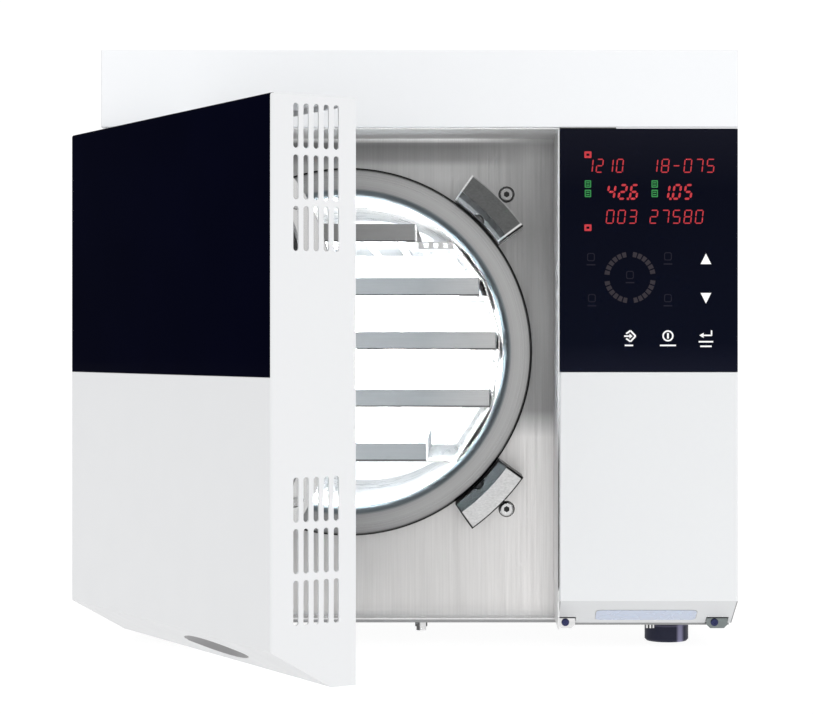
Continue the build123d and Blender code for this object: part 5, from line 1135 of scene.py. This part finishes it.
rear_middle = (rear_low.z + rear_high.z) / 2
rear_places = [
    (x, rear_high.y, z) for z in (rear_low.z + EDGE_IN, rear_high.z - EDGE_IN) for x in rear_row
]
rear_sides = (rear_low.x + REAR_MIDDLE, rear_high.x - REAR_MIDDLE)
rear_places += [(x, rear_high.y, rear_middle) for x in rear_sides]
screws("screws_rear", rear_places, (0, 1, 0), *PANEL_SCREW, chrome, "cabinet", "screw_steel")
fan_low, fan_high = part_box("fan_frame")
FAN_SCREW = (2.8 * MM, 1.4 * MM)
FAN_IN = 7.5 * MM
fan_places = [
    (x, rear_high.y, z)
    for x in (fan_low.x + FAN_IN, fan_high.x - FAN_IN)
    for z in (fan_low.z + FAN_IN, fan_high.z - FAN_IN)
]
black = finishes["rocker_black"]
screws("screws_fan", fan_places, (0, 1, 0), *FAN_SCREW, black, "cabinet", "rocker_black")
top_row = (top_low.x + TOP_END, -TOP_INNER, TOP_INNER, top_high.x - TOP_END)
top_places = [(x, top_high.y - TOP_REAR, top_high.z) for x in top_row]
# Known fault: their normal is frame_at's up, so these four come out as lines without width
screws("screws_top", top_places, (0, 0, 1), *PANEL_SCREW, chrome, "cabinet", "screw_steel")


# Camera, at the photograph's place: numbers in pixels are the photograph's own
PHOTO_WIDTH = 814
PHOTO_HEIGHT = 714
FOCAL_PIXELS = 2203.0
PRINCIPAL = (460.0, 343.0)
SENSOR_WIDTH = 36.0
CAMERA_PLACE = (0.0318, -2.009, 0.245)
camera_data = bpy.data.cameras.new("camera")
camera_data.sensor_width = SENSOR_WIDTH
camera_data.lens = SENSOR_WIDTH * FOCAL_PIXELS / PHOTO_WIDTH
camera_data.shift_x = (PHOTO_WIDTH / 2 - PRINCIPAL[0]) / PHOTO_WIDTH
camera_data.shift_y = (PRINCIPAL[1] - PHOTO_HEIGHT / 2) / PHOTO_WIDTH
camera_data.clip_end = 50.0
camera = bpy.data.objects.new("camera", camera_data)
camera.location = CAMERA_PLACE
camera.rotation_euler = (math.pi / 2, 0, 0)
bpy.context.scene.collection.objects.link(camera)
bpy.context.scene.camera = camera

# Floor
FLOOR_HALF = 20.0
FLOOR_DEPTH = 0.02


def build_floor(bm):
    outline = [(x * FLOOR_HALF, y * FLOOR_HALF) for x, y in ((-1, -1), (1, -1), (1, 1), (-1, 1))]
    add_prism(bm, outline, lambda u, v, w: Vector((u, v, -w)), FLOOR_DEPTH)


floor_finish = Finish("floor_white", grey(100), 0.9, Emission_Color=(1, 1, 1, 1), Emission_Strength=0.92)
floor_finish.tone(floor_finish.noise(3), 0.99, 1.0)
floor = closed("floor", build_floor, floor_finish.material)


# Lights
def area_light(name, shape, place, target, size, power, colour=(1, 1, 1)):
    """A flat light of this shape and width, turned to its target."""
    data = bpy.data.lights.new(name, "AREA")
    data.shape = shape
    data.size = size
    data.energy = power
    data.color = colour
    made = bpy.data.objects.new(name, data)
    made.location = place
    made.rotation_euler = (Vector(target) - Vector(place)).to_track_quat("-Z", "Y").to_euler()
    bpy.context.scene.collection.objects.link(made)


LIT_PLACE = (0, 0, 0.25)
SOFT_WIDTH = 1.2
CHAMBER_LIGHT = 252.5 * MM
area_light("key", "SQUARE", (1.2, -2.2, 1.6), LIT_PLACE, SOFT_WIDTH, 1.0)
area_light("fill", "SQUARE", (-1.8, -2.0, 0.9), LIT_PLACE, SOFT_WIDTH, 0.3, (0.94, 0.97, 1.0))
mouth = Vector((chamber_x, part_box("tray_rack")[0].y + 1.5 * MM, chamber_z))
area_light("chamber", "DISK", mouth, mouth + Vector((0, 1, 0)), CHAMBER_LIGHT, 20)

# White all round, and greyer on the left
LEFT_SHADE = 0.64
WORLD_STRENGTH = 1.06
world = bpy.data.worlds.new("world")
world.use_nodes = True
tree = world.node_tree
background = tree.nodes["Background"]
direction = tree.nodes.new("ShaderNodeTexCoord")
split = tree.nodes.new("ShaderNodeSeparateXYZ")
left_to_right = tree.nodes.new("ShaderNodeMapRange")
shading = {"From Min": -0.65, "From Max": -0.35, "To Min": LEFT_SHADE, "To Max": 1.0}
for socket, value in shading.items():
    left_to_right.inputs[socket].default_value = value
tree.links.new(direction.outputs["Generated"], split.inputs[0])
tree.links.new(split.outputs["X"], left_to_right.inputs["Value"])
tree.links.new(left_to_right.outputs["Result"], background.inputs["Color"])
background.inputs["Strength"].default_value = WORLD_STRENGTH
bpy.context.scene.world = world
bpy.context.scene.view_settings.view_transform = "Standard"
